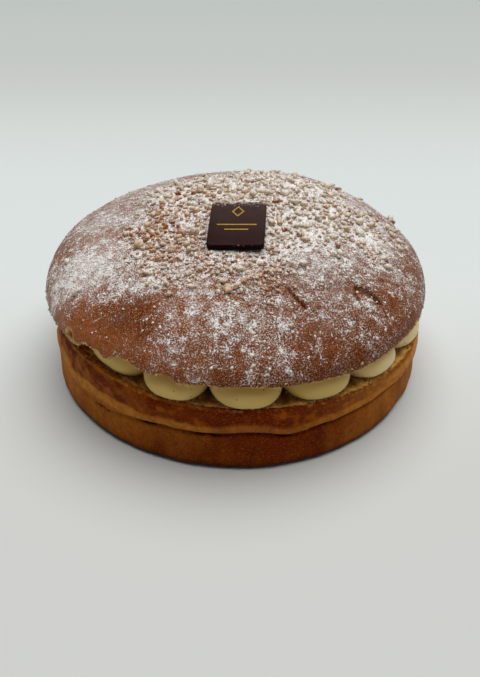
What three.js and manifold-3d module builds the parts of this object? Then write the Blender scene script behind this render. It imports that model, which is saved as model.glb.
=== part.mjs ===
// A cream-filled brioche: a split ring loaf, piped cream between its halves, sugar grains on top.
// Millimetres, +Z up, front towards -Y. The origin is the middle of the underside.
// Angles are measured from the front (-Y) towards +X, seen from above.
import * as THREE from "three";
import { mergeVertices } from "three/addons/utils/BufferGeometryUtils.js";
import Module from "manifold-3d";

// Base: the lower half of the loaf.
const FOOT_RADIUS = 90.6; // outer radius near the table
const FOOT_EDGE = 3.0; // how far the flat underside stays inside the foot
const WALL_TAPER = 1.0; // how much the wall leans in from the foot to the seam
const SEAM_HEIGHT = 18.6; // height of the crease round the wall
const SEAM_DEPTH = 0.9; // depth of that crease
const LIP_RADIUS = 90.4; // the crust above the crease bulges to here
const RIM_HEIGHT = 31.7; // top of the crust round the cut
const CUT_HEIGHT = 30.9; // cut face that carries the cream, at the middle
const CUT_SLOPE = 0.047; // the knife ran downhill towards +X, by this much per millimetre
const CUT_RADIUS = 80.0; // outside this radius the cut face runs up or down to the rim
const BASE_SEGMENTS = 96;

// Cream: a thick disc whose edge is a ring of piped balls.
const CONTACT_GAP = 0.3; // clear space between pieces that rest on each other
const BALL_COUNT = 16;
const FIRST_CREASE = 13.7; // degrees from the front to the first crease between balls
const CREASE_UNEVENNESS = 2.0; // degrees by which a hand-piped crease strays
const BALL_RING_RADIUS = 80.0; // where the slope of the cuts is taken for the balls
const CREAM_CORE_RADIUS = 70.0; // the balls stand out from here
const BALL_DEPTH = 20.5; // radial reach of a ball beyond the core
const BALL_MIDDLE_HEIGHT = 37.0; // height of the widest part of a ball
const BALL_HALF_HEIGHT = 11.0; // half height of the whole ball, before it is pressed flat
const BALL_OVERLAP = 0.93; // below 1, neighbouring balls press into each other
const STEPS_PER_BALL = 8;

// Lid: the domed upper half.
const LID_CUT_HEIGHT = 45.9; // cut face that lies on the cream, at the middle
const LID_CUT_RADIUS = 84.0; // outer radius of that face
const LID_RADIUS = 92.1;
const LID_EDGE_HEIGHT = 43.7; // lowest line of the crust, at the middle of the slope
const DROOP_DEPTH = 4.8; // the torn crust hangs this much lower along the left side
const DROOP_FROM = -114.0; // degrees from the front
const DROOP_TO = -46.5;
const DROOP_SOFTNESS = 2.6; // degrees over which it starts and ends
const WIDEST_HEIGHT = 46.3; // the crust is widest here unless the cut lies higher
const DOME_START = 44.9; // height where the dome formula begins
const DOME_HEIGHT = 32.4;
const DOME_ROUNDNESS = 2.4; // larger means a flatter top
const DOME_SHOULDER = 1.95; // larger means a fuller shoulder
const DOME_SHIFT_X = -3.6; // the highest point lies off the middle
const DOME_SHIFT_Y = 8.0;
const LID_OFFSET_X = -0.7;
const LID_OFFSET_Y = 0.5;
const SWELL_HEIGHT = 3.3; // soft swelling at the back right
const SWELL_X = 30.0;
const SWELL_Y = 45.0;
const SWELL_WIDTH = 42.4;
const MOUND_HEIGHT = 3.0; // low mound of crumble under the plaque's back edge
const MOUND_X = 1.0;
const MOUND_Y = -2.0;
const MOUND_WIDTH = 17.0;
const LID_SEGMENTS = 96;

// Sugar and crumble grains fused to the lid.
const GRAIN_LARGEST = 4.2;
const GRAIN_SMALLEST = 2.3;
const GRAIN_CANDIDATES = 760;
const GRAIN_LIMIT = 135;
const GRAIN_FIELD_RADIUS = 82.0;
const GRAIN_SPACING = 4.6;
const GRAIN_SUNK = 0.22; // share of a grain's width below the crust
const GRAIN_SEED = 4711;

// Chocolate plaque.
const PLAQUE_WIDTH = 25.0;
const PLAQUE_LENGTH = 29.0;
const PLAQUE_THICKNESS = 3.0;
const PLAQUE_CORNER = 1.4;
const PLAQUE_BEVEL = 0.35;
const PLAQUE_X = -0.2; // middle of its top face
const PLAQUE_Y = -21.8;
const PLAQUE_Z = 82.2;
const PLAQUE_PITCH = 15.0; // degrees, its front edge lower than its back edge
const PLAQUE_ROLL = -2.2;
const PLAQUE_TURN = -4.9;
const PLAQUE_CLEAR_MARGIN = 1.6; // no grain comes nearer to its sides

const rad = (degrees) => (degrees * Math.PI) / 180;

// Difference of two angles, between minus pi and pi.
function turnBetween(angle, other) {
  return Math.atan2(Math.sin(angle - other), Math.cos(angle - other));
}

// A smooth hump round one direction, 1 at its middle.
function hump(angle, middleDegrees, widthDegrees) {
  const away = turnBetween(angle, rad(middleDegrees)) / rad(widthDegrees);
  return Math.exp(-away * away);
}

// 1 between two directions, with soft ends outside them.
function stretch(angle, fromDegrees, toDegrees, softDegrees) {
  const middle = (fromDegrees + toDegrees) / 2;
  const away = Math.abs(turnBetween(angle, rad(middle)) / rad(1)) - (toDegrees - fromDegrees) / 2;
  return 1 - THREE.MathUtils.smoothstep(away, -softDegrees, softDegrees);
}

// A closed surface from rings of points: the first and last ring are single points on the axis.
function closedForm(pointAt, ringCount, angles) {
  const positions = [];
  const faces = [];
  const around = angles.length;
  positions.push(...pointAt(0, 0));
  for (let ring = 1; ring < ringCount - 1; ring++)
    for (const angle of angles) positions.push(...pointAt(angle, ring));
  positions.push(...pointAt(0, ringCount - 1));
  const top = positions.length / 3 - 1;
  const at = (ring, i) => 1 + (ring - 1) * around + (i % around);
  for (let i = 0; i < around; i++) {
    faces.push(0, at(1, i + 1), at(1, i));
    for (let ring = 1; ring < ringCount - 2; ring++) {
      faces.push(at(ring, i), at(ring, i + 1), at(ring + 1, i + 1));
      faces.push(at(ring, i), at(ring + 1, i + 1), at(ring + 1, i));
    }
    faces.push(at(ringCount - 2, i), at(ringCount - 2, i + 1), top);
  }
  const geometry = new THREE.BufferGeometry();
  geometry.setAttribute("position", new THREE.Float32BufferAttribute(positions, 3));
  geometry.setIndex(faces);
  return geometry;
}

function evenAngles(count) {
  return Array.from({ length: count }, (_, i) => (2 * Math.PI * i) / count);
}

const onRing = (angle, radius, height) => [
  radius * Math.sin(angle),
  -radius * Math.cos(angle),
  height,
];

// ---- Base ----

function footRadius(angle) {
  const lean = 0.3 * Math.cos(angle - rad(15));
  const lobes = 0.5 * Math.cos(4 * (angle - rad(13)));
  return FOOT_RADIUS + lean + lobes;
}

function seamHeight(angle) {
  const dip = -4.2 * hump(angle, -44, 14) - 1.6 * hump(angle, 14, 5);
  const rise = 2.2 * hump(angle, -73, 12) + 1.2 * hump(angle, 4, 7);
  const back = -1.8 * hump(angle, 150, 18) + 1.3 * hump(angle, 205, 20);
  return SEAM_HEIGHT + dip + rise + back;
}

function lipRadius(angle) {
  const flare = 1.8 * hump(angle, 63, 17) - 1.3 * hump(angle, -84, 26);
  return LIP_RADIUS + flare + 0.3 * Math.sin(3 * angle + 1);
}

// How much lower than at the middle the sloping cuts lie at a place.
const cutFall = (angle, radius) => CUT_SLOPE * radius * Math.sin(angle);

function rimHeight(angle) {
  const sag = -1.0 * hump(angle, 46, 16) - 0.6 * hump(angle, 200, 20);
  const rise = 0.9 * hump(angle, -40, 14) + 0.9 * hump(angle, 80, 14);
  const level = RIM_HEIGHT + sag + rise + 0.3 * Math.sin(5 * angle + 0.6);
  return level - cutFall(angle, LIP_RADIUS);
}

function basePoint(angle, ring) {
  const foot = footRadius(angle);
  const seam = seamHeight(angle);
  const wall = foot - WALL_TAPER;
  const lip = lipRadius(angle);
  const rim = rimHeight(angle);
  const profile = [
    [0, 0],
    [foot - FOOT_EDGE, 0],
    [foot - 0.9, 0.9],
    [foot, 3.4],
    [foot - 0.35 * WALL_TAPER, 0.5 * seam],
    [wall, seam - 1.8],
    [wall - SEAM_DEPTH, seam],
    [wall + 0.4, seam + 1.5],
    [lip - 0.4, 0.55 * seam + 0.45 * rim],
    [lip, 0.22 * seam + 0.78 * rim],
    [lip - 0.5, rim - 1.3],
    [lip - 1.4, rim - 0.1],
    [lip - 2.2, rim - 0.2],
    [CUT_RADIUS, CUT_HEIGHT - cutFall(angle, CUT_RADIUS)],
    [0, CUT_HEIGHT],
  ];
  return onRing(angle, ...profile[ring]);
}
const BASE_RINGS = 15;

// ---- Cream ----

function creaseAngle(k) {
  const nearFront = k >= -1 && k <= 1;
  const stray = nearFront ? 0 : CREASE_UNEVENNESS * Math.sin(-7 * k);
  return rad(FIRST_CREASE + (360 / BALL_COUNT) * k + stray);
}

// Angles that crowd towards each crease, so that the creases stay sharp.
function creamAngles() {
  const angles = [];
  for (let ball = 0; ball < BALL_COUNT; ball++) {
    const k = ball - BALL_COUNT / 2;
    const start = creaseAngle(k);
    const end = ball === BALL_COUNT - 1 ? creaseAngle(-BALL_COUNT / 2) + 2 * Math.PI : creaseAngle(k + 1);
    for (let step = 0; step < STEPS_PER_BALL; step++) {
      const across = (1 - Math.cos((Math.PI * step) / STEPS_PER_BALL)) / 2;
      angles.push({ angle: start + (end - start) * across, across: 2 * across - 1, ball });
    }
  }
  return angles;
}

// Height of the base's cut face, flat in the middle and running to the rim at the outside.
function baseTop(angle, radius) {
  const rimRadius = lipRadius(angle) - 2.2;
  const flat = CUT_HEIGHT - cutFall(angle, Math.min(radius, CUT_RADIUS));
  const outwards = Math.max(0, Math.min(1, (radius - CUT_RADIUS) / (rimRadius - CUT_RADIUS)));
  return flat + (rimHeight(angle) - 0.2 - flat) * outwards;
}

// Height of the lid's underside, flat in the middle and hanging a little at the crust.
function lidUnder(angle, radius) {
  const crustRadius = LID_RADIUS - 4.6 - tornInwards(angle);
  const flat = LID_CUT_HEIGHT - cutFall(angle, Math.min(radius, LID_CUT_RADIUS));
  const outwards = Math.max(0, Math.min(1, (radius - LID_CUT_RADIUS) / (crustRadius - LID_CUT_RADIUS)));
  return flat + Math.min(0, lidEdgeHeight(angle) - flat) * outwards;
}

// Outline of one piped ball: across runs from -1 to 1 between its two creases.
function ballRadius(angle, across, ball, height) {
  const uneven = 0.6 * Math.sin(5.1 * ball + 2);
  const drawnIn = 4.3 * hump(angle, -41, 12) + 5.8 * hump(angle, -66, 14);
  const reach = BALL_DEPTH + uneven - drawnIn + 0.7 * hump(angle, 3, 9);
  const sideways = Math.abs(across * BALL_OVERLAP) ** 2.7;
  const middle = BALL_MIDDLE_HEIGHT - cutFall(angle, BALL_RING_RADIUS);
  const upwards = ((height - middle) / BALL_HALF_HEIGHT) ** 2;
  return CREAM_CORE_RADIUS + reach * Math.sqrt(Math.max(0, 1 - sideways - upwards));
}

// Pulls a radius in until the point is clear of the base below and the lid above.
function clearRadius(angle, radius, height) {
  const margin = CONTACT_GAP + 0.12;
  let clear = radius;
  for (let step = 0; step < 60; step++) {
    const tooLow = height < baseTop(angle, clear) + margin;
    const tooHigh = height > lidUnder(angle, clear) - margin;
    if (!tooLow && !tooHigh) break;
    clear -= 0.2;
  }
  return clear;
}

const CREAM_LEVELS = [0, 0.07, 0.17, 0.31, 0.52, 0.72, 0.88, 1];

function creamForm() {
  const steps = creamAngles();
  const lookup = new Map(steps.map((s) => [s.angle, s]));
  const rings = CREAM_LEVELS.length + 2;
  const pointAt = (angle, ring) => {
    if (ring === 0) return [0, 0, CUT_HEIGHT + CONTACT_GAP];
    if (ring === rings - 1) return [0, 0, LID_CUT_HEIGHT - CONTACT_GAP];
    const { across, ball } = lookup.get(angle);
    const heightAt = (radius) => {
      const lowest = CUT_HEIGHT + CONTACT_GAP + 0.1;
      const highest = LID_CUT_HEIGHT - CONTACT_GAP - 0.1;
      return lowest + (highest - lowest) * CREAM_LEVELS[ring - 1] - cutFall(angle, radius);
    };
    const rough = heightAt(BALL_RING_RADIUS);
    const radius = clearRadius(angle, ballRadius(angle, across, ball, rough), rough);
    return onRing(angle, radius, heightAt(radius));
  };
  return closedForm(pointAt, rings, steps.map((s) => s.angle));
}

// ---- Lid ----

function lidRadius(angle) {
  const waves = 0.35 * Math.sin(3 * angle + 0.4) + 0.25 * Math.sin(7 * angle + 2);
  return LID_RADIUS + waves;
}

// The crust's lower line follows the sloping cut and rises where the edge is torn.
function lidEdgeHeight(angle) {
  const left = 1.2 * hump(angle, -41, 4) + 3.2 * hump(angle, -29.5, 4) + 1.6 * hump(angle, -18, 3.5);
  const right = 1.0 * hump(angle, 2, 4) + 1.1 * hump(angle, 50, 8) + 0.7 * hump(angle, -7, 3);
  const sag = -1.8 * hump(angle, -13.5, 3) - 0.5 * hump(angle, 6.5, 4) - 0.6 * hump(angle, 30, 7);
  const back = 0.9 * hump(angle, 165, 25) - 0.8 * hump(angle, 110, 18) + 1.4 * hump(angle, 214, 6);
  const droop = DROOP_DEPTH * stretch(angle, DROOP_FROM, DROOP_TO, DROOP_SOFTNESS);
  return LID_EDGE_HEIGHT + left + right + sag + back - droop - cutFall(angle, LID_RADIUS);
}

const tornInwards = (angle) => 1.6 * hump(angle, -56, 12) + 0.8 * hump(angle, 190, 14);

const DOME_SHARES = [1, 0.985, 0.955, 0.91, 0.85, 0.77, 0.67, 0.55, 0.42, 0.28, 0.14];

function domePoint(angle, share) {
  const radius = lidRadius(angle) * share;
  const shift = 1 - share * share;
  const x = LID_OFFSET_X + radius * Math.sin(angle) + DOME_SHIFT_X * shift;
  const y = LID_OFFSET_Y - radius * Math.cos(angle) + DOME_SHIFT_Y * shift;
  const arch = DOME_HEIGHT * (1 - share ** DOME_ROUNDNESS) ** (1 / DOME_SHOULDER);
  const swell = Math.exp(-((x - SWELL_X) ** 2 + (y - SWELL_Y) ** 2) / SWELL_WIDTH ** 2);
  const mound = Math.exp(-((x - MOUND_X) ** 2 + (y - MOUND_Y) ** 2) / MOUND_WIDTH ** 2);
  const z = DOME_START + arch + SWELL_HEIGHT * swell + MOUND_HEIGHT * mound;
  return [x, y, z];
}

// The share of the radius at which the dome formula reaches a height near its foot.
function shareAtHeight(height) {
  const rise = (height - DOME_START) / DOME_HEIGHT;
  return (1 - rise ** DOME_SHOULDER) ** (1 / DOME_ROUNDNESS);
}

function lidPoint(angle, ring) {
  const edge = lidEdgeHeight(angle);
  const torn = tornInwards(angle);
  const wide = Math.max(WIDEST_HEIGHT, edge + 0.9);
  const start = shareAtHeight(wide);
  const radius = lidRadius(angle) * start;
  const flat = LID_CUT_HEIGHT - cutFall(angle, LID_CUT_RADIUS);
  const under = [
    [0, LID_CUT_HEIGHT],
    [LID_CUT_RADIUS, Math.max(flat, Math.min(edge, flat + 0.4))],
    [radius - 3.6 - torn, edge + 0.3],
    [radius - 2.3 - torn, edge],
    [radius - 1.1 - 0.7 * torn, edge + 0.35],
    [radius - 0.35 - 0.4 * torn, 0.6 * edge + 0.4 * wide],
  ];
  if (ring < under.length) {
    const [r, z] = under[ring];
    const offset = ring ? 1 : 0;
    return [
      offset * LID_OFFSET_X + r * Math.sin(angle),
      offset * LID_OFFSET_Y - r * Math.cos(angle),
      z,
    ];
  }
  const share = DOME_SHARES[ring - under.length];
  return share === undefined ? domePoint(0, 0) : domePoint(angle, start * share);
}
const LID_RINGS = 6 + DOME_SHARES.length + 1;

// ---- Grains ----

// A repeatable stream of numbers between 0 and 1.
function seededRandom(seed) {
  let state = seed >>> 0;
  return () => {
    state = (Math.imul(state, 1664525) + 1013904223) >>> 0;
    return state / 4294967296;
  };
}

// Finds the dome's point above a place seen from above.
function domeAbove(x, y) {
  let share = Math.hypot(x, y) / LID_RADIUS;
  let angle = Math.atan2(x, -y);
  for (let pass = 0; pass < 12; pass++) {
    const shift = 1 - share * share;
    const dx = x - LID_OFFSET_X - DOME_SHIFT_X * shift;
    const dy = y - LID_OFFSET_Y - DOME_SHIFT_Y * shift;
    angle = Math.atan2(dx, -dy);
    share = Math.min(0.98, Math.hypot(dx, dy) / lidRadius(angle));
  }
  return domePoint(angle, share);
}

// How thickly the grains lie, from 0 to 1: thick round the top, thin towards the front.
function grainCover(x, y) {
  const top = 1 - THREE.MathUtils.smoothstep(Math.hypot(x - 2, y - 6), 26, 58);
  const left = Math.exp(-(((x + 36) / 18) ** 2) - ((y + 10) / 30) ** 2);
  const right = Math.exp(-(((x - 58) / 18) ** 2) - ((y - 4) / 20) ** 2);
  const front = THREE.MathUtils.smoothstep(y, -62, -34);
  return Math.min(1, (top + left + right) * (0.03 + 0.97 * front));
}

// Whether a place lies under the plaque or close to its sides.
function nearPlaque(x, y, size) {
  const turn = rad(PLAQUE_TURN);
  const dx = x - PLAQUE_X;
  const dy = y - PLAQUE_Y - 0.6;
  const across = dx * Math.cos(turn) + dy * Math.sin(turn);
  const along = -dx * Math.sin(turn) + dy * Math.cos(turn);
  const margin = PLAQUE_CLEAR_MARGIN + size / 2;
  return Math.abs(across) < PLAQUE_WIDTH / 2 + margin && Math.abs(along) < PLAQUE_LENGTH / 2 + margin;
}

function grainPlaces() {
  const random = seededRandom(GRAIN_SEED);
  const golden = Math.PI * (3 - Math.sqrt(5));
  const places = [];
  for (let i = 0; i < GRAIN_CANDIDATES; i++) {
    const order = (i * 377) % GRAIN_CANDIDATES;
    const reach = GRAIN_FIELD_RADIUS * Math.sqrt((order + 0.5) / GRAIN_CANDIDATES);
    const x = reach * Math.cos(golden * order) + (random() - 0.5) * 1.6;
    const y = reach * Math.sin(golden * order) + (random() - 0.5) * 1.6;
    const keep = random() < grainCover(x, y);
    const spin = [random() * 6.3, random() * 6.3, random() * 6.3];
    const stretch = 0.75 + 0.5 * random();
    if (!keep || places.length >= GRAIN_LIMIT) continue;
    const share = places.length / GRAIN_LIMIT;
    const size = GRAIN_LARGEST + (GRAIN_SMALLEST - GRAIN_LARGEST) * share;
    if (nearPlaque(x, y, size)) continue;
    if (places.some((p) => Math.hypot(p.x - x, p.y - y) < GRAIN_SPACING)) continue;
    places.push({ x, y, size, spin, stretch });
  }
  return places;
}

function grainForm({ x, y, size, spin, stretch }) {
  const grain = new THREE.IcosahedronGeometry(size / 2, 0);
  grain.scale(stretch, 1, 0.85);
  grain.rotateX(spin[0]);
  grain.rotateY(spin[1]);
  grain.rotateZ(spin[2]);
  const [, , surface] = domeAbove(x, y);
  grain.translate(x, y, surface + size * (0.5 * 0.85 - GRAIN_SUNK));
  return grain;
}

// ---- Joining solids ----

const wasm = await Module();
wasm.setup();

function asSolid(geometry) {
  const bare = geometry.clone();
  bare.deleteAttribute("normal");
  bare.deleteAttribute("uv");
  const merged = mergeVertices(bare, 1e-4);
  return new wasm.Manifold(
    new wasm.Mesh({
      numProp: 3,
      vertProperties: new Float32Array(merged.attributes.position.array),
      triVerts: new Uint32Array(merged.index.array),
    })
  );
}

function asGeometry(solid) {
  const mesh = solid.getMesh();
  const geometry = new THREE.BufferGeometry();
  geometry.setAttribute("position", new THREE.BufferAttribute(new Float32Array(mesh.vertProperties), 3));
  geometry.setIndex(new THREE.BufferAttribute(new Uint32Array(mesh.triVerts), 1));
  return geometry;
}

function lidForm() {
  const dome = asSolid(closedForm(lidPoint, LID_RINGS, evenAngles(LID_SEGMENTS)));
  const grains = grainPlaces().map((place) => asSolid(grainForm(place)));
  return asGeometry(wasm.Manifold.union([dome, ...grains]));
}

// ---- Plaque ----

function plaqueForm() {
  const halfWidth = PLAQUE_WIDTH / 2 - PLAQUE_BEVEL;
  const halfLength = PLAQUE_LENGTH / 2 - PLAQUE_BEVEL;
  const c = PLAQUE_CORNER;
  const outline = new THREE.Shape();
  outline.moveTo(-halfWidth + c, -halfLength);
  outline.lineTo(halfWidth - c, -halfLength);
  outline.absarc(halfWidth - c, -halfLength + c, c, -Math.PI / 2, 0);
  outline.lineTo(halfWidth, halfLength - c);
  outline.absarc(halfWidth - c, halfLength - c, c, 0, Math.PI / 2);
  outline.lineTo(-halfWidth + c, halfLength);
  outline.absarc(-halfWidth + c, halfLength - c, c, Math.PI / 2, Math.PI);
  outline.lineTo(-halfWidth, -halfLength + c);
  outline.absarc(-halfWidth + c, -halfLength + c, c, Math.PI, 1.5 * Math.PI);
  const plaque = new THREE.ExtrudeGeometry(outline, {
    depth: PLAQUE_THICKNESS - 2 * PLAQUE_BEVEL,
    bevelThickness: PLAQUE_BEVEL,
    bevelSize: PLAQUE_BEVEL,
    bevelSegments: 1,
    curveSegments: 3,
  });
  plaque.translate(0, 0, PLAQUE_BEVEL - PLAQUE_THICKNESS);
  plaque.rotateX(rad(PLAQUE_PITCH));
  plaque.rotateY(rad(PLAQUE_ROLL));
  plaque.rotateZ(rad(PLAQUE_TURN));
  plaque.translate(PLAQUE_X, PLAQUE_Y, PLAQUE_Z);
  return asGeometry(asSolid(plaque));
}

// ---- Assembly ----

const plain = (color, roughness) => new THREE.MeshStandardMaterial({ color, roughness, metalness: 0 });
const baseForm = () => closedForm(basePoint, BASE_RINGS, evenAngles(BASE_SEGMENTS));
const pieces = [
  ["brioche_base", baseForm(), plain(0x9a5a26, 0.7)],
  ["cream_filling", creamForm(), plain(0xf0e4b4, 0.4)],
  ["brioche_lid", lidForm(), plain(0x8c4a26, 0.7)],
  ["chocolate_plaque", plaqueForm(), plain(0x2a1a18, 0.3)],
];

// The middle of the whole object's box, seen from above, goes onto the origin.
const box = new THREE.Box3();
for (const [, geometry] of pieces) {
  geometry.computeBoundingBox();
  box.union(geometry.boundingBox);
}
const middle = box.getCenter(new THREE.Vector3());

const part = new THREE.Group();
part.name = "cream_filled_brioche";
for (const [name, geometry, material] of pieces) {
  geometry.translate(-middle.x, -middle.y, 0);
  geometry.computeVertexNormals();
  const mesh = new THREE.Mesh(geometry, material);
  mesh.name = name;
  part.add(mesh);
}

export default part;
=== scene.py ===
# %% [markdown]
# # A cream-filled brioche
# A round milk-bread loaf is cut across, filled with a ring of piped vanilla cream and closed again.
# Its domed lid carries baked crumble, icing sugar and a small chocolate plaque.
# We load the imported CAD model first. It fixes where everything goes.

# %% Load the imported model
import math
import bpy
import bmesh
import numpy as np
from mathutils import Euler, Matrix, Vector


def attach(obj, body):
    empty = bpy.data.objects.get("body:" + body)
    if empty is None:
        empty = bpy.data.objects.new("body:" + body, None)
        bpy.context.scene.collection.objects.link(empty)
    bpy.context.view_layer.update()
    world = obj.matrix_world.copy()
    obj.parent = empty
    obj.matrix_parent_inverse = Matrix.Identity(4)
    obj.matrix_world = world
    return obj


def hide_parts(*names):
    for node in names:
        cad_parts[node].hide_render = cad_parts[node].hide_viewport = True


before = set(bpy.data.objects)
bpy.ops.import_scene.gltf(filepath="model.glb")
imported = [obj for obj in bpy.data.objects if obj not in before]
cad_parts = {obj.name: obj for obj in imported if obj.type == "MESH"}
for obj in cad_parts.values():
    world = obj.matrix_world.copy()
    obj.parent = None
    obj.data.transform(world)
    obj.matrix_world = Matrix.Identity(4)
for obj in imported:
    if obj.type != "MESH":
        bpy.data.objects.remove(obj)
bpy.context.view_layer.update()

# %% [markdown]
# ## Units and colours
# The cake is described in millimetres, measured from the middle of the loaf, and Blender works in
# metres. The origin is the middle of the whole object's box, which lies a millimetre away.
# Colours are written as the hex values you would pick from a screen. Shaders work with linear light,
# so one function turns them over.

# %% Units and colours
MM = 0.001
LOAF_MIDDLE = np.array([0.9247, -0.1513, 0.0])


def to_metres(points):
    """Millimetres from the loaf's middle to metres in the shared frame."""
    return (np.asarray(points, float) + LOAF_MIDDLE) * MM


def linear(code):
    """A hex colour such as #c08040 as linear red, green, blue and alpha."""
    parts = [int(code[i : i + 2], 16) / 255 for i in (1, 3, 5)]
    return (*[c / 12.92 if c <= 0.04045 else ((c + 0.055) / 1.055) ** 2.4 for c in parts], 1.0)


print("sugar white in linear light:", [round(c, 3) for c in linear("#ece6e2")])

# %% [markdown]
# ## Camera
# The photograph looks down on the cake by about 35 degrees, from roughly 36 cm away, which is how
# near a phone's lens has to be for this much perspective. The lens and place were worked out from
# the outlines of the loaf. Blender measures the lens against a 36 mm sensor on the long side.

# %% Camera
CAMERA_PLACE = (0.000925, -0.304601, 0.215241)
CAMERA_DOWN = math.radians(34.6)
CAMERA_TURN = math.radians(-0.23)
camera_data = bpy.data.cameras.new("camera")
camera_data.lens = 37.22
camera_data.sensor_width = 36.0
camera_data.clip_start = 0.01
camera_data.clip_end = 40.0
camera = bpy.data.objects.new("camera", camera_data)
camera.location = CAMERA_PLACE
camera.rotation_euler = (math.pi / 2 - CAMERA_DOWN, 0.0, CAMERA_TURN)
bpy.context.collection.objects.link(camera)
bpy.context.scene.camera = camera
print("camera at", CAMERA_PLACE, "lens", camera_data.lens)

# %% [markdown]
# ## Nodes
# A material is a small graph. One helper adds a node, sets it up, and joins or fills its inputs, so
# that each material below reads as a short list of steps. Inputs go by name or by number. A colour
# Mix takes its share at 0 and its colours at 6 and 7. A Map Range takes a value, the range it comes
# from and the range it goes to. The scale of a noise is written as 1000 / its grain in mm.


# %% A helper for nodes
def node(tree, kind, inputs=(), **settings):
    """Adds a node. An input is a value, a hex colour, a socket or a node, whose first output counts."""
    made = tree.nodes.new("ShaderNode" + kind)
    for name, value in settings.items():
        setattr(made, name, value)
    for name, value in inputs.items() if isinstance(inputs, dict) else enumerate(inputs):
        if isinstance(value, bpy.types.Node):
            value = next(output for output in value.outputs if output.enabled)
        if isinstance(value, bpy.types.NodeSocket):
            tree.links.new(value, made.inputs[name])
        else:
            made.inputs[name].default_value = linear(value) if isinstance(value, str) else value
    return made


def new_material(name):
    """An empty material, its node tree, and the coordinates that stay put on the piece."""
    material = bpy.data.materials.new(name)
    material.use_nodes = True
    material.node_tree.nodes.clear()
    return material, material.node_tree, node(material.node_tree, "TexCoord").outputs["Object"]


# %% [markdown]
# ## Floor and light
# The cake stands on a plain pale table under a broad, soft ceiling light. The lid's top is bright, the
# wall below it gets little more than what the table throws back, and a faint shadow lies round the
# foot. A sun whose disc fills a sixth of the sky does that. The room is dim, with a paler horizon.
# The table carries painted light in a brighter band behind the cake, and painted shade that greys it far
# off.

# %% Floor
FLOOR_HALF = 8.0
floor_mesh = bmesh.new()
bmesh.ops.create_grid(floor_mesh, x_segments=1, y_segments=1, size=FLOOR_HALF)
floor_data = bpy.data.meshes.new("floor")
floor_mesh.to_mesh(floor_data)
floor_mesh.free()
floor = bpy.data.objects.new("floor", floor_data)
floor.location = (0, 0, -0.0002)
bpy.context.collection.objects.link(floor)

paper, tree, place = new_material("Table paper, matt")
reach_back = node(tree, "SeparateXYZ", [place])
# Painted shade: the table greys with distance behind the cake.
painted_falloff = node(tree, "MapRange", [reach_back.outputs["Y"], 0.1, 1.1])
plain = node(tree, "Mix", {0: painted_falloff, 6: "#d0d2d1", 7: "#c0c7c4"}, data_type="RGBA")
# Painted light: a brighter band on the table behind the cake.
lit_from = node(tree, "MapRange", [reach_back.outputs["Y"], -0.1, 0.07],
                interpolation_type="SMOOTHSTEP")
lit_to = node(tree, "MapRange", [reach_back.outputs["Y"], 0.16, 0.62, 1.0, 0.0],
              interpolation_type="SMOOTHSTEP")
lit = node(tree, "Math", [lit_from, lit_to], operation="MULTIPLY")
tint = node(tree, "Mix", {0: lit, 6: plain, 7: "#dde4e5"}, data_type="RGBA")
surface = node(tree, "BsdfPrincipled", {
    "Base Color": tint, "Roughness": 0.8, "Specular IOR Level": 0.1})
node(tree, "OutputMaterial", [surface])
floor.data.materials.append(paper)
print("floor of", 2 * FLOOR_HALF, "m")

# %% Light
SUN_ANGLE, SUN_BACK, SUN_RIGHT = 66.0, 8.0, 7.0
sun_data = bpy.data.lights.new("sky_overhead", "SUN")
sun_data.energy = 2.9
sun_data.angle = math.radians(SUN_ANGLE)
sun_data.color = linear("#fffefb")[:3]
sun = bpy.data.objects.new("sky_overhead", sun_data)
sun.location = (0, 0, 1)
sun.rotation_euler = (math.radians(-SUN_BACK), math.radians(SUN_RIGHT), 0)
bpy.context.collection.objects.link(sun)
world = bpy.data.worlds.new("room")
bpy.context.scene.world = world
world.use_nodes = True
room = world.node_tree
way = node(room, "SeparateXYZ", [node(room, "TexCoord").outputs["Generated"]])
dimmer = node(room, "MapRange", [way.outputs["Z"], 0.0, 0.3, 0.5, 0.09])
room.nodes["Background"].inputs["Color"].default_value = linear("#e9ebea")
room.links.new(dimmer.outputs[0], room.nodes["Background"].inputs["Strength"])
bpy.context.scene.view_settings.view_transform = "Standard"
bpy.context.scene.view_settings.look = "None"
print("light from above over", SUN_ANGLE, "degrees of sky")

# %% [markdown]
# ## Uneven by rule
# Dough is never quite even. We need one function that gives smooth random numbers for any point in
# space: values on a lattice, blended in between. The same point always gives the same number, so
# the cake comes out alike on every run.


# %% Smooth random numbers
def lattice(points, seed):
    """Smooth numbers from -1 to 1 at points whose lattice step is 1."""
    low = np.floor(points)
    part = points - low
    part = part**3 * (part * (part * 6 - 15) + 10)
    low = low.astype(np.int64) & 0xFFFFFFFF
    total = np.zeros(points.shape[:-1])
    for dx in (0, 1):
        for dy in (0, 1):
            for dz in (0, 1):
                key = (low[..., 0] + dx) * 73856093 ^ (low[..., 1] + dy) * 19349663
                key = (key ^ (low[..., 2] + dz) * 83492791 ^ seed * 2654435761) & 0xFFFFFFFF
                key = ((key ^ (key >> 15)) * 2246822519) & 0xFFFFFFFF
                key = ((key ^ (key >> 13)) * 3266489917) & 0xFFFFFFFF
                value = ((key ^ (key >> 16)) & 0xFFFFFF) / 0x7FFFFF - 1.0
                share = part[..., 0] if dx else 1 - part[..., 0]
                share = share * (part[..., 1] if dy else 1 - part[..., 1])
                total += value * share * (part[..., 2] if dz else 1 - part[..., 2])
    return total


def lumps(points, size, seed, octaves=1):
    """Unevenness with lumps of one size in mm, or of halving sizes for more octaves."""
    points = np.asarray(points, float)
    total, weight, whole = 0.0, 1.0, 0.0
    for octave in range(octaves):
        total = total + weight * lattice(points * (2**octave / size) + 31.7 * octave, seed + octave)
        whole += weight
        weight *= 0.5
    return total / whole


def smoothstep(value, low, high):
    """0 below low, 1 above high, and a soft step between."""
    t = np.clip((value - low) / (high - low), 0, 1)
    return t * t * (3 - 2 * t)


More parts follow.
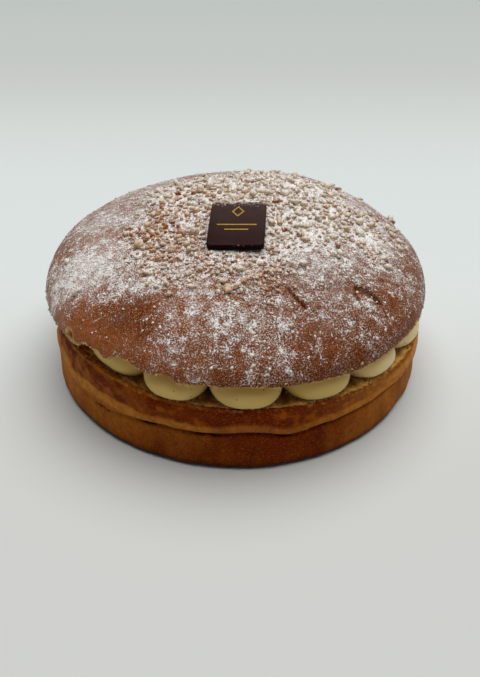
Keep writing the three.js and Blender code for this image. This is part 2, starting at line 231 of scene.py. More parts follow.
def bell(value, middle, width, power=2):
    """1 where a value is at the middle, falling off softly to both sides."""
    return np.exp(-(((value - middle) / width) ** power))


def degrees_from(angle, middle):
    """How far round the loaf an angle is from a direction given in degrees."""
    return (np.degrees(angle) - middle + 180) % 360 - 180


def hump(angle, middle, width):
    """1 in one direction round the loaf and falling off softly, in degrees."""
    return bell(degrees_from(angle, middle), 0, width)


def unit(vectors):
    """Vectors made 1 long."""
    return vectors / np.linalg.norm(vectors, axis=-1, keepdims=True)


print("lumps at three points:", lumps([[0, 0, 0], [5, 2, 1], [9, 9, 9]], 4.0, 1).round(2))

# %% [markdown]
# ## One way to shape all the dough and cream
# Base, cream and lid are all closed round forms. Each starts as a UV sphere, whose rows run from the
# top pole to the bottom pole. We move row by row onto the profile of the real piece, which is like
# throwing it on a wheel, and then push the surface about for its lumps and tears.


# %% From a sphere to a closed round form
def on_ring(angle, radius, height):
    """Points at an angle from the front, turning towards +X."""
    return np.stack([radius * np.sin(angle), -radius * np.cos(angle), height + 0 * angle], -1)


def profile_rows(points, steps):
    """Runs rows through (radius, height) points, with this many steps from one to the next."""
    rows = []
    for k, count in enumerate(steps):
        (r0, z0), (r1, z1) = points[k], points[k + 1]
        for step in range(count):
            t = step / count
            rows.append((r0 * (1 - t) + r1 * t, z0 * (1 - t) + z1 * t))
    rows.append(points[-1])
    return np.array([np.broadcast_arrays(*row) for row in rows])


def soften(rows, passes):
    """Rounds the corners of a stack of rows without moving its poles."""
    for _ in range(passes):
        rows[1:-1] = 0.25 * rows[:-2] + 0.5 * rows[1:-1] + 0.25 * rows[2:]
    return rows


def grid_normals(grid):
    """Outward directions at each point of a grid of rows (top to bottom) and columns (round)."""
    down = np.gradient(grid, axis=0)
    round_ = np.roll(grid, -1, 1) - np.roll(grid, 1, 1)
    normal = np.cross(down, round_)
    length = np.linalg.norm(normal, axis=-1, keepdims=True)
    normal = normal / np.maximum(length, 1e-9)
    normal[0], normal[-1] = (0, 0, 1), (0, 0, -1)
    return normal


def closed_form(name, grid, layers):
    """A mesh from a sphere whose points go onto the grid, with a number or colour from each layer."""
    rows, columns = grid.shape[0] - 1, grid.shape[1]
    form = bmesh.new()
    bmesh.ops.create_uvsphere(form, u_segments=columns, v_segments=rows, radius=1.0)
    bmesh.ops.recalc_face_normals(form, faces=form.faces)
    data = bpy.data.meshes.new(name)
    form.to_mesh(data)
    form.free()
    sphere = np.zeros(len(data.vertices) * 3)
    data.vertices.foreach_get("co", sphere)
    x, y, z = sphere.reshape(-1, 3).T
    row = np.rint(np.arctan2(np.hypot(x, y), z) / math.pi * rows).astype(int)
    column = np.rint(np.arctan2(x, -y) / (2 * math.pi) * columns).astype(int) % columns
    data.vertices.foreach_set("co", to_metres(grid[row, column]).ravel())
    for layer, values in layers.items():
        add_layer(data, layer, np.broadcast_to(values, grid.shape[:2] + values.shape[2:])[row, column])
    return data


def add_layer(data, layer, values):
    """Stores a number or a colour for each point of a mesh, for the shader to read."""
    if values.ndim == 1:
        data.attributes.new(layer, "FLOAT", "POINT").data.foreach_set("value", values)
    else:
        colours = np.concatenate([np.clip(values, 0, 1), np.ones((len(values), 1))], axis=1)
        data.attributes.new(layer, "FLOAT_COLOR", "POINT").data.foreach_set("color", colours.ravel())


def finish_piece(data, nodes, material):
    """Makes a smooth-shaded piece of a mesh. It rides on the cake and stands for CAD nodes."""
    data.polygons.foreach_set("use_smooth", [True] * len(data.polygons))
    data.update()
    piece = bpy.data.objects.new(data.name, data)
    bpy.context.collection.objects.link(piece)
    data.materials.append(material)
    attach(piece, "root")
    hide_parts(*nodes)
    faces = sum(len(p.vertices) - 2 for p in data.polygons)
    print(data.name, "has", faces, "triangles")


def blend(first, second, share):
    """Mixes two colours, or arrays of colours, by a share for each point."""
    first, second = (np.asarray(linear(c) if isinstance(c, str) else c)[..., :3] for c in (first, second))
    return first + (second - first) * np.clip(share, 0, 1)[..., None]


# %% [markdown]
# ## Base: the lower half of the loaf
# It was baked against a ring, so its wall is nearly upright. Halfway up runs a crease where the
# risen dough folded over itself, with a pale ridge above it and a few thin cracks in it. At the
# front left the crease fades and the pale band climbs. Above the ridge the egg-washed crust is dark,
# up to the ragged line where the knife cut it. The cut runs downhill to the right, as knives do.

# %% Shape of the base, in mm
FOOT_RADIUS, FOOT_EDGE, WALL_TAPER = 90.6, 3.0, 1.0
SEAM_HEIGHT, SEAM_DEPTH = 18.6, 1.5
LIP_RADIUS, RIM_HEIGHT = 90.4, 31.7
CUT_HEIGHT, CUT_SLOPE, CUT_RADIUS = 30.9, 0.047, 80.0
BALL_COUNT, FIRST_CREASE = 16, 13.7  # balls of cream, and where two of them meet, in degrees
BASE_COLUMNS = 720
BASE_STEPS = [4, 16, 3, 3, 3, 8, 9, 7, 7, 13, 10, 5, 4, 7]


def cut_fall(angle, radius):
    """How much lower the sloping cut lies here than at the middle."""
    return CUT_SLOPE * radius * np.sin(angle)


def seam_height(angle):
    dip = -4.2 * hump(angle, -44, 14) - 1.6 * hump(angle, 14, 5)
    rise = 2.2 * hump(angle, -73, 12) + 1.2 * hump(angle, 4, 7)
    return SEAM_HEIGHT + dip + rise - 1.8 * hump(angle, 150, 18) + 1.3 * hump(angle, 205, 20)


def lip_radius(angle):
    uneven = 1.8 * hump(angle, 63, 17) - 1.3 * hump(angle, -84, 26)
    return LIP_RADIUS + uneven + 0.3 * np.sin(3 * angle + 1)


def rim_height(angle):
    sag = -1.0 * hump(angle, 46, 16) - 0.6 * hump(angle, 200, 20)
    rise = 0.9 * hump(angle, -40, 14) + 0.9 * hump(angle, 80, 14)
    return RIM_HEIGHT + sag + rise + 0.3 * np.sin(5 * angle + 0.6) - cut_fall(angle, LIP_RADIUS)


def base_grid(angle):
    """Rows of the base, from the middle of the cut over the rim and down the wall to underneath."""
    foot = FOOT_RADIUS + 0.3 * np.cos(angle - math.radians(15))
    foot = foot + 0.5 * np.cos(4 * (angle - math.radians(13)))
    seam, lip, rim, wall = seam_height(angle), lip_radius(angle), rim_height(angle), foot - WALL_TAPER
    fold_in = SEAM_DEPTH * (1 - 0.85 * hump(angle, -56, 26))
    points = [
        (0.0, CUT_HEIGHT), (CUT_RADIUS, CUT_HEIGHT - cut_fall(angle, CUT_RADIUS)),
        (lip - 2.2, rim - 0.2), (lip - 1.4, rim - 0.1), (lip - 0.5, rim - 1.3),
        (lip, 0.22 * seam + 0.78 * rim), (lip - 0.4, 0.55 * seam + 0.45 * rim),
        (wall + 0.4, seam + 1.5), (wall - fold_in, seam), (wall, seam - 1.8),
        (foot - 0.35 * WALL_TAPER, 0.5 * seam), (foot, 3.4), (foot - 0.9, 0.9),
        (foot - FOOT_EDGE, 0.0), (0.0, 0.0),
    ]
    rows = soften(profile_rows([(r + 0 * angle, z + 0 * angle) for r, z in points], BASE_STEPS), 2)
    rows[-8:, 1] = 0.0
    return on_ring(angle, rows[:, 0], rows[:, 1])


base_angle = np.arange(BASE_COLUMNS) * 2 * math.pi / BASE_COLUMNS
base = base_grid(base_angle)
print("base grid", base.shape, "mm high:", base[..., 2].max().round(2))

# %% Relief and colour of the base
SEAM_CRACKS = [(-25.5, 3.2), (-8.4, 3.8), (4.6, 1.6), (12.3, 3.2), (26.2, 3.4), (58, 4), (96, 3),
               (121, 5), (163, 3), (190, 5), (224, 3), (251, 4), (283, 4), (318, 3)]  # middle, width
PIT_ANGLE, PIT_HEIGHT, WALL_MM_PER_DEGREE = 20.3, 9.5, 1.56
angle = np.broadcast_to(base_angle, base.shape[:2])
radius = np.hypot(base[..., 0], base[..., 1])
height = base[..., 2]
seam, lip, rim = seam_height(angle), lip_radius(angle), rim_height(angle)
above = height - seam
flat = base * [1, 1, 0]
row = np.arange(len(base))[:, None] + 0 * angle
edge_row = sum(BASE_STEPS[:3])
wall_part = smoothstep(row, edge_row - 2, edge_row + 4) * smoothstep(height, -0.2, 1.5)

upright = base * np.array([1, 1, 0.22])
dough = 0.34 * lumps(base, 13, 3) + 0.16 * lumps(base, 5, 4, 2) + 0.20 * lumps(upright, 4.5, 5, 2)
dough += 0.07 * lumps(base, 1.8, 6, 2)
left_side = hump(angle, -62, 26)
ridge_at = 2.6 + 0.5 * lumps(flat, 9, 7) + 0.5 * left_side + 3.6 * hump(angle, -43, 13)
ridge_wide = 1.8 + 1.2 * left_side
ridge = 0.75 * bell(above, ridge_at, ridge_wide) * (0.7 + 0.5 * lumps(flat, 17, 8))
ridge -= 0.60 * bell(above, 7.0, 2.2) * (0.8 + 0.4 * lumps(base, 14, 9))
ridge -= 0.9 * smoothstep(height, rim - 4.5, rim)
crack = sum(bell(degrees_from(angle, middle), 0, wide, 4) for middle, wide in SEAM_CRACKS)
crack = np.clip(crack, 0, 1) * bell(above + 0.3 + 0.5 * lumps(flat, 3.0, 11), 0, 0.38) * wall_part
crack *= smoothstep(lumps(flat, 2.4, 12), -0.5, 0.1)
crumb_edge = lip - 2.4 - 2.4 * hump(angle, -50, 26) + 1.1 * lumps(base, 2.4, 21, 2)
crumb = smoothstep(crumb_edge - radius, -0.3, 0.8) * (row < edge_row + 1)
rim_specks = smoothstep(lumps(base, 1.4, 23), 0.1, 0.5) * (np.abs(row - edge_row + 1) < 4)
crumb = np.maximum(crumb, 0.25 * rim_specks)
pores = smoothstep(lumps(base, 1.9, 24, 2), 0.15, 0.55)
pit = hump(angle, PIT_ANGLE, 0.9 / WALL_MM_PER_DEGREE) * bell(height, PIT_HEIGHT, 0.7) * wall_part
lift = wall_part * (dough + ridge) - 0.8 * crack - 0.9 * pit
lift += crumb * (0.35 * lumps(base, 1.3, 25) - 0.35 * pores + 0.25 * lumps(base, 3.0, 26))
lift *= (height > 0.3) | (row < edge_row)
base = base + grid_normals(base) * (lift * (radius > 60))[..., None]
print("relief from", lift.min().round(2), "to", lift.max().round(2), "mm")

# The wall is browner and darker towards the front: partly real browning, partly painted shade where the
# front wall gets little light.
front = hump(angle, 8, 44)
streaks = lumps(base * [1, 1, 0.12], 7, 37, 2)
browning_and_front_shade = 0.03 + 0.97 * front + 0.30 * lumps(base, 20, 31) - 0.25 * streaks
paint = blend("#bf7526", "#6b2200", browning_and_front_shade)
# Painted shade: the wall darkens over its lowest 6 mm, at the table. The same dark colour also gives
# random darker patches.
painted_foot_shade = smoothstep(height, 6, 0.5) * 0.95
patchy = smoothstep(lumps(base, 24, 38, 2), -0.1, 0.5) * (1 - front)
paint = blend(paint, "#8a4310", 0.45 * patchy)
paint = blend(paint, "#330c00", painted_foot_shade + 0.3 * smoothstep(lumps(base, 7, 32, 2), 0.0, 0.7))
tan_ridge = bell(above, ridge_at, ridge_wide + 0.3, 4) * (0.85 + 0.5 * lumps(base, 6, 33, 2))
paint = blend(paint, "#cf8838", tan_ridge * (0.42 + 0.56 * (1 - front)))
glazed = smoothstep(above - ridge_at + 0.7 * lumps(base, 3, 36), 1.6, 3.0) * wall_part
glaze = blend("#661a00", "#a8540a", 0.75 * smoothstep(lumps(base, 4, 34, 2), 0.1, 0.6))
glaze = blend(glaze, "#cf9148", hump(angle, 68, 28))
thin_glaze = hump(angle, -60, 32) * smoothstep(lumps(base, 5, 39), -0.3, 0.2)
glaze = blend(glaze, "#a86018", 0.85 * thin_glaze)
paint = blend(paint, glaze, glazed * 0.95)
# Painted shade: the seam crease, its cracks and the pit are darkened where shade falls in them.
crease_shade = bell(above + 0.2, 0, 0.7) * wall_part * (1 - hump(angle, -54, 28))
crease_shade = np.clip(1.3 * crack + 1.0 * pit + 0.30 * crease_shade, 0, 1)
paint = blend(paint, "#401404", crease_shade)
crumb_tone = blend("#f6c870", "#c8883a", 0.4 * pores + 0.3 * lumps(base, 0.9, 35))
crumb_tone = blend(crumb_tone, "#a8681e", 0.3 * smoothstep(radius, lip - 3.4, lip - 1.6))
half_ball = 180 / BALL_COUNT
between = bell((np.degrees(angle) - FIRST_CREASE + half_ball) % (2 * half_ball), half_ball, 2.4)
in_shade = between * smoothstep(radius, lip - 3.0, lip - 6.0)
crumb_tone = blend(crumb_tone, "#5a3210", 0.85 * in_shade)
paint = blend(paint, crumb_tone, crumb)
paint = blend(paint, "#8a5526", 0.8 * (height < 0.1))
base_data = closed_form("base_crust_and_crumb", base, {"paint": paint, "crumb": crumb})

# %% [markdown]
# ### Crust baked in a ring
# Crust is dough that dried and browned: rough at the scale of half a millimetre, a little shiny
# where egg or butter sat on it. The large colours come from the paint layer above. The shader adds
# what is too fine for the mesh: mottling, tiny blisters and pores, with a bump to match.
# Its pale specks are partly blisters and partly painted glints.

# %% Material of the base
ring_crust, tree, place = new_material("Milk-bread crust, baked in a ring")
paint_in = node(tree, "Attribute", attribute_name="paint")
crumb_in = node(tree, "Attribute", attribute_name="crumb")
mottle = node(tree, "TexNoise", {"Vector": place, "Scale": 1000 / 2.2, "Detail": 4.0, "Roughness": 0.6})
fine = node(tree, "TexNoise", {"Vector": place, "Scale": 1000 / 0.8, "Detail": 3.0, "Roughness": 0.65})
darker = node(tree, "MapRange", [mottle, 0.42, 0.7, 0.0, 0.42])
crust1 = node(tree, "Mix", {0: darker, 6: paint_in, 7: "#4f1801"}, data_type="RGBA")
# Pale specks: partly tiny blisters, partly painted glints of the low-gloss crust.
lighter = node(tree, "MapRange", [fine, 0.5, 0.68, 0.0, 0.26])
crust2 = node(tree, "Mix", {0: lighter, 6: crust1, 7: "#c87a26"}, data_type="RGBA")
rough = node(tree, "MapRange", [fine, 0.3, 0.7, 0.5, 0.7])
rough_crumb = node(tree, "Mix", {0: crumb_in.outputs["Fac"], 2: rough, 3: 0.95})
relief = node(tree, "Math", [mottle, fine], operation="ADD")
bump = node(tree, "Bump", {"Height": relief, "Strength": 0.55, "Distance": 0.0003})
skin = node(tree, "BsdfPrincipled", {
    "Base Color": crust2, "Roughness": rough_crumb, "Normal": bump, "IOR": 1.45,
    "Specular IOR Level": 0.04})
node(tree, "OutputMaterial", [skin])
finish_piece(base_data, ["brioche_base"], ring_crust)

# %% [markdown]
# ## Cream: a ring of piped balls
# Vanilla cream is piped in round blobs that swell against each other, so the creases between them
# are sharp and the blobs are full. We put the sphere's columns closer together near each crease, so
# that the mesh can turn the sharp corner there.

# %% Shape of the cream, in mm
CONTACT_GAP = 0.3
CREASE_UNEVENNESS = 2.0
CREAM_CORE_RADIUS, BALL_RING_RADIUS, BALL_DEPTH = 70.0, 80.0, 20.5
BALL_MIDDLE_HEIGHT, BALL_HALF_HEIGHT, BALL_OVERLAP = 37.0, 11.0, 0.93
LID_CUT_HEIGHT, LID_CUT_RADIUS, LID_RADIUS = 45.9, 84.0, 92.1
DROOP_ANGLE, DROOP_HALF_WIDTH = -80.25, 33.75
BALL_COLUMNS, CREAM_ROWS = 34, 72


def crease_angle(k):
    """Direction of a crease: the two beside the front ball are where the photo shows them."""
    stray = 0.0 if -1 <= k <= 1 else CREASE_UNEVENNESS * math.sin(-7 * k)
    return math.radians(FIRST_CREASE + 360 / BALL_COUNT * k + stray)


def cream_columns():
    """Angle, place across its ball from -1 to 1, and ball number of each column."""
    columns = []
    for ball in range(BALL_COUNT):
        k = ball - BALL_COUNT // 2
        start = crease_angle(k)
        last = ball == BALL_COUNT - 1
        end = crease_angle(-BALL_COUNT // 2) + 2 * math.pi if last else crease_angle(k + 1)
        for step in range(BALL_COLUMNS):
            across = (1 - math.cos(math.pi * step / BALL_COLUMNS)) / 2
            columns.append((start + (end - start) * across, 2 * across - 1, ball))
    return np.array(columns).T


def base_top(angle, radius):
    """Height of the cut face of the base."""
    rim_radius = lip_radius(angle) - 2.2
    flat = CUT_HEIGHT - cut_fall(angle, np.minimum(radius, CUT_RADIUS))
    outwards = np.clip((radius - CUT_RADIUS) / (rim_radius - CUT_RADIUS), 0, 1)
    return flat + (rim_height(angle) - 0.2 - flat) * outwards


def lid_under(angle, radius):
    """Height of the underside of the lid."""
    crust_radius = LID_RADIUS - 4.6 - torn_inwards(angle)
    flat = LID_CUT_HEIGHT - cut_fall(angle, np.minimum(radius, LID_CUT_RADIUS))
    outwards = np.clip((radius - LID_CUT_RADIUS) / (crust_radius - LID_CUT_RADIUS), 0, 1)
    return flat + np.minimum(0, lid_edge_height(angle) - flat) * outwards


def torn_inwards(angle):
    return 1.6 * hump(angle, -56, 12) + 0.8 * hump(angle, 190, 14)


def lid_edge_height(angle):
    """The crust's lower line: it follows the cut, rises where it is torn and droops on the left."""
    left = 1.2 * hump(angle, -41, 4) + 3.2 * hump(angle, -29.5, 4) + 1.6 * hump(angle, -18, 3.5)
    right = 1.0 * hump(angle, 2, 4) + 1.1 * hump(angle, 50, 8) + 0.7 * hump(angle, -7, 3)
    sag = -1.8 * hump(angle, -13.5, 3) - 0.5 * hump(angle, 6.5, 4) - 0.6 * hump(angle, 30, 7)
    back = 0.9 * hump(angle, 165, 25) - 0.8 * hump(angle, 110, 18) + 1.4 * hump(angle, 214, 6)
    away = np.abs(degrees_from(angle, DROOP_ANGLE)) - DROOP_HALF_WIDTH
    droop = 4.8 * (1 - smoothstep(away, -2.6, 2.6))
    return 43.7 + left + right + sag + back - droop - cut_fall(angle, LID_RADIUS)


cream_angle, across, ball = cream_columns()
print(len(cream_angle), "columns round", BALL_COUNT, "balls")


# %% Build the cream
def ball_radius(angle, height):
    """How far out the ring of balls reaches in this direction and at this height."""
    drawn_in = 4.3 * hump(angle, -41, 12) + 5.8 * hump(angle, -66, 14)
    reach = BALL_DEPTH + 0.6 * np.sin(5.1 * ball + 2) - drawn_in + 0.7 * hump(angle, 3, 9)
    sideways = np.abs(across * BALL_OVERLAP) ** 2.7
    middle = BALL_MIDDLE_HEIGHT - cut_fall(angle, BALL_RING_RADIUS)
    upwards = ((height - middle) / BALL_HALF_HEIGHT) ** 2
    return CREAM_CORE_RADIUS + reach * np.sqrt(np.maximum(0, 1 - sideways - upwards))


def clear_radius(angle, radius, height):
    """Pulls the cream in until it is clear of the bread below and above it."""
    margin = CONTACT_GAP + 0.12
    for _ in range(60):
        touches_base = height < base_top(angle, radius) + margin
        touches_lid = height > lid_under(angle, radius) - margin
        radius = radius - 0.2 * (touches_base | touches_lid)
    return radius


lowest, highest = CUT_HEIGHT + CONTACT_GAP + 0.1, LID_CUT_HEIGHT - CONTACT_GAP - 0.1
side_rows = 52
rows = []
for step in range(side_rows + 1):
    level = highest + (lowest - highest) * (1 - math.cos(math.pi * step / side_rows)) / 2
    rough_height = level - cut_fall(cream_angle, BALL_RING_RADIUS)
    out_to = clear_radius(cream_angle, ball_radius(cream_angle, rough_height), rough_height)
    rows.append(on_ring(cream_angle, out_to, level - cut_fall(cream_angle, out_to)))
disc = np.linspace(0, 1, (CREAM_ROWS - side_rows) // 2 + 1)[:-1]
top_disc = [np.array([[0, 0, highest]]) * (1 - t) + rows[0] * t for t in disc]
bottom_disc = [np.array([[0, 0, lowest]]) * (1 - t) + rows[-1] * t for t in disc[::-1]]
cream = np.array(top_disc + rows + bottom_disc)
swirl = 0.10 * lumps(cream * [1, 1, 2.5], 9, 41) + 0.035 * lumps(cream, 3.5, 42, 2)
on_side = (np.hypot(cream[..., 0], cream[..., 1]) > 76) * 1.0
cream = cream + grid_normals(cream) * ((swirl - 0.05) * on_side)[..., None]
cream_data = closed_form("piped_cream", cream, {})
print("cream grid", cream.shape)

# %% [markdown]
# ### Piped vanilla cream
# Custard lightened with butter is opaque, smooth and slightly wet. Light goes a few millimetres into
# it, which softens the shading, so it gets some subsurface scattering and a low, broad gloss. Its
# colour drifts a little between paler and yolkier.

# %% Material of the cream
custard, tree, place = new_material("Vanilla custard cream, piped")
drift = node(tree, "TexNoise", {"Vector": place, "Scale": 1000 / 14.0, "Detail": 3.0})
ripple = node(tree, "TexNoise", {"Vector": place, "Scale": 1000 / 1.6, "Detail": 2.0})
tone = node(tree, "Mix", {0: drift, 6: "#d9bd78", 7: "#cba95e"}, data_type="RGBA")
sides = node(tree, "SeparateXYZ", [place])
# Painted light: the cream is paler towards +X, the side the light comes from.
painted_light_ramp = node(tree, "MapRange", [sides.outputs["X"], 0.04, 0.07, 0.0, 0.95])
custard_tone = node(tree, "Mix", {0: painted_light_ramp, 6: tone, 7: "#eed8a4"}, data_type="RGBA")
speck_place = node(tree, "TexVoronoi", {"Vector": place, "Scale": 1000 / 3.6})
speck = node(tree, "MapRange", [speck_place, 0.07, 0.11, 0.85, 0.0])
specked = node(tree, "Mix", {0: speck, 6: custard_tone, 7: "#6e5a2c"}, data_type="RGBA")
wet = node(tree, "MapRange", [drift, 0.0, 1.0, 0.36, 0.52])
bump = node(tree, "Bump", {"Height": ripple, "Strength": 0.18, "Distance": 0.0002})
skin = node(tree, "BsdfPrincipled", {
    "Base Color": specked, "Roughness": wet, "Normal": bump, "IOR": 1.45, "Specular IOR Level": 0.12,
    "Subsurface Weight": 0.6, "Subsurface Radius": (0.006, 0.0045, 0.0025), "Subsurface Scale": 1.0})
node(tree, "OutputMaterial", [skin])
finish_piece(cream_data, ["cream_filling"], custard)

# %% [markdown]
# ## Lid: the domed upper half
# The lid rose freely in the oven, so it is a full, slightly lopsided dome. It was egg-washed, which
# browned it, and the knife left it a thin crust edge that tears in places and droops at the left.
# The dome is one formula; the edge is a profile that curls under it to the cut.

# %% Shape of the lid, in mm
WIDEST_HEIGHT = 46.3
DOME_START, DOME_HEIGHT, DOME_ROUNDNESS, DOME_SHOULDER = 44.9, 32.4, 2.4, 1.95
DOME_SHIFT, LID_OFFSET = (-3.6, 8.0), (-0.7, 0.5)
SWELL = (3.3, 30.0, 45.0, 42.4)
MOUND = (3.0, 1.0, -2.0, 17.0)
LID_COLUMNS, DOME_ROWS = 720, 98
EDGE_STEPS = [2, 3, 4, 3, 4, 8]


def lid_radius(angle):
    return LID_RADIUS + 0.35 * np.sin(3 * angle + 0.4) + 0.25 * np.sin(7 * angle + 2)


def dome_point(angle, share):
    """A point of the dome: share is 0 on its top and 1 at its foot."""
    radius, shift = lid_radius(angle) * share, 1 - share * share
    x = LID_OFFSET[0] + radius * np.sin(angle) + DOME_SHIFT[0] * shift
    y = LID_OFFSET[1] - radius * np.cos(angle) + DOME_SHIFT[1] * shift
    z = DOME_START + DOME_HEIGHT * np.maximum(0, 1 - share**DOME_ROUNDNESS) ** (1 / DOME_SHOULDER)
    for high, mid_x, mid_y, wide in (SWELL, MOUND):
        z = z + high * np.exp(-((x - mid_x) ** 2 + (y - mid_y) ** 2) / wide**2)
    return np.stack([x, y, z], -1)


def lid_grid(angle):
    """Rows of the lid, from its top down the dome, round the torn edge and under it."""
    edge, torn = lid_edge_height(angle), torn_inwards(angle)
    rim_line = on_ring(angle, LID_RADIUS, 0.0)
    rough = 0.35 + 0.90 * hump(angle, -48, 40) + 0.3 * hump(angle, 190, 16)
    edge = edge + rough * (0.55 * lumps(rim_line, 4.2, 69) + 0.65 * lumps(rim_line, 1.9, 70))
    edge = edge + 1.3 * hump(angle, 57, 14)
    wide = np.maximum(WIDEST_HEIGHT, edge + 0.9)
    start = (1 - ((wide - DOME_START) / DOME_HEIGHT) ** DOME_SHOULDER) ** (1 / DOME_ROUNDNESS)
    radius = lid_radius(angle) * start
    flat = LID_CUT_HEIGHT - cut_fall(angle, LID_CUT_RADIUS)
    reach = np.sin(np.linspace(0, math.pi / 2, DOME_ROWS + 1))[:-1]
    dome = [dome_point(angle, start * share) for share in reach]
    points = [
        (radius, wide), (radius - 0.35 - 0.4 * torn, 0.6 * edge + 0.4 * wide),
        (radius - 1.1 - 0.7 * torn, edge + 0.35), (radius - 2.3 - torn, edge),
        (radius - 3.6 - torn, edge + 0.3),
        (LID_CUT_RADIUS + 0 * angle, np.maximum(flat, np.minimum(edge, flat + 0.4))),
        (0 * angle, LID_CUT_HEIGHT + 0 * angle),
    ]
    rows = profile_rows(points, EDGE_STEPS)
    under = on_ring(angle, rows[:, 0], rows[:, 1]) + [*LID_OFFSET, 0]
    return soften(np.concatenate([np.array(dome), under]), 2)


lid_angle = np.arange(LID_COLUMNS) * 2 * math.pi / LID_COLUMNS
lid = lid_grid(lid_angle)
print("lid grid", lid.shape, "top at", lid[..., 2].max().round(1), "mm")

# %% [markdown]
# ### Where the toppings lie
# Crumble was strewn round the plaque and to both sides, and icing sugar was sieved over it unevenly.
# We describe both as soft patches seen from above, each with a middle, a reach and an amount. The
# same two functions then steer the mesh, the shader and the scattering, so they always agree.

# %% Patches of sugar and crumble
SUGAR_PATCHES = [  # x, y, reach in x, reach in y, amount
    (-65, -29, 19, 18, 0.94), (-58, 2, 20, 18, 0.46), (-43, -52, 22, 8, 0.55),
    (-16, -66, 14, 12, 0.42), (2, -72, 28, 16, 0.36), (38, -64, 16, 12, 0.30),
    (30, -4, 26, 20, 0.62), (54, -57, 8, 6, 0.70), (34, -30, 20, 24, 0.52), (50, -38, 16, 15, 0.42),
    (60, -24, 16, 26, 0.42), (77, -12, 9, 28, 0.12), (0, 30, 52, 26, 0.70), (0, -39, 26, 10, 0.40),
    (46, 26, 32, 28, 0.55), (-45, 48, 28, 20, 0.45), (5, 70, 44, 16, 0.62), (-78, 14, 9, 26, 0.3),
    (12, -84, 22, 8, 0.14),
]
BARE_PATCHES = [
    (-58, -68, 26, 14, 0.38), (68, -56, 16, 14, 0.30), (46, -80, 28, 9, 0.32),
    (-30, -30, 10, 10, 0.2),
]
FILM_PATCHES = [
    (-66, 12, 16, 26, 0.85), (-50, 44, 24, 20, 0.6), (60, 30, 26, 34, 0.45), (20, 66, 50, 18, 0.55),
    (74, -16, 12, 24, 0.15), (-66, -32, 15, 15, 0.75), (34, -30, 18, 22, 0.3),
]
CRUMBLE_PATCHES = [
    (-6, -20, 42, 46, 1.0), (-30, -28, 20, 32, 1.0), (44, -6, 32, 28, 0.85), (14, 28, 44, 27, 0.85),
    (-28, 24, 18, 22, 0.75),
]


def patches(points, listed, sharpness):
    """The strongest patch at each place, between 0 and 1."""
    best = 0.0
    for x, y, reach_x, reach_y, amount in listed:
        away = ((points[..., 0] - x) / reach_x) ** 2 + ((points[..., 1] - y) / reach_y) ** 2
        best = np.maximum(best, amount * np.exp(-(away**sharpness)))
    return best


def sugar_at(points):
    flat = points * [1, 1, 0]
    drift = 0.14 * lumps(flat, 13, 51, 2) + 0.18 * lumps(flat, 4.5, 52) + 0.14 * lumps(flat, 2.2, 55)
    bare = patches(points, BARE_PATCHES, 1.5)
    return np.clip(0.30 + 0.9 * patches(points, SUGAR_PATCHES, 1.0) - bare + drift, 0, 1)


def crumble_at(points):
    flat = points * [1, 1, 0]
    edge_line = 5 * lumps(flat, 12, 54) - 0.2 * np.maximum(points[..., 0] - 10, 0)
    front = smoothstep(points[..., 1] + edge_line, -70, -57)
    return np.clip(patches(points, CRUMBLE_PATCHES, 2.5) * front + 0.25 * lumps(flat, 7, 53), 0, 1)


print("sugar left of the plaque:", sugar_at(np.array([[-66.0, -28.0, 60.0]])).round(2))

# %% Relief and colour of the lid
CRACKS = [  # depth and width, then points seen from above
    (1.6, 1.75, [(50.8, -50.4), (52.8, -49.8), (54.8, -50.2)]),
    (1.5, 1.40, [(54.8, -50.2), (57.2, -51.3), (59.5, -53.5)]),
    (0.7, 0.50, [(59.5, -53.5), (61.6, -56.2), (62.8, -59.0)]),
    (0.9, 1.00, [(49.6, -53.8), (50.4, -55.4)]),
    (0.9, 0.75, [(20.8, -56.4), (23.0, -59.9), (24.5, -61.7), (27.2, -64.8)]),
    (0.8, 0.45, [(38.0, 62.0), (41.5, 60.5), (45.0, 61.0)]),
    (0.8, 0.45, [(-58.0, 44.0), (-60.0, 40.0), (-59.5, 36.5)]),
]
PITS = [  # x, y, depth, width
    (75.8, -30.1, 0.9, 0.8), (62.5, -41.0, 0.8, 0.7), (28, 61, 0.7, 0.7),
]


def near_cracks(points):
    """How deep each point lies in a crack or pit, in mm, and how far it is from the nearest one."""
    depth, nearest = np.zeros(points.shape[:-1]), np.full(points.shape[:-1], 99.0)
    wander = 0.22 * lumps(points * [1, 1, 0], 1.1, 61)
    for deep, wide, line in CRACKS:
        for (x0, y0), (x1, y1) in zip(line, line[1:]):
            dx, dy = x1 - x0, y1 - y0
            along = ((points[..., 0] - x0) * dx + (points[..., 1] - y0) * dy) / (dx * dx + dy * dy)
            along = np.clip(along, 0, 1)
            away = np.hypot(points[..., 0] - x0 - along * dx, points[..., 1] - y0 - along * dy)
            nearest = np.minimum(nearest, away)
            depth = np.maximum(depth, deep * bell(away + wander, 0, wide))
    for x, y, deep, wide in PITS:
        away = np.hypot(points[..., 0] - x, points[..., 1] - y)
        nearest = np.minimum(nearest, away)
        depth = np.maximum(depth, deep * bell(away, 0, wide))
    return depth, nearest


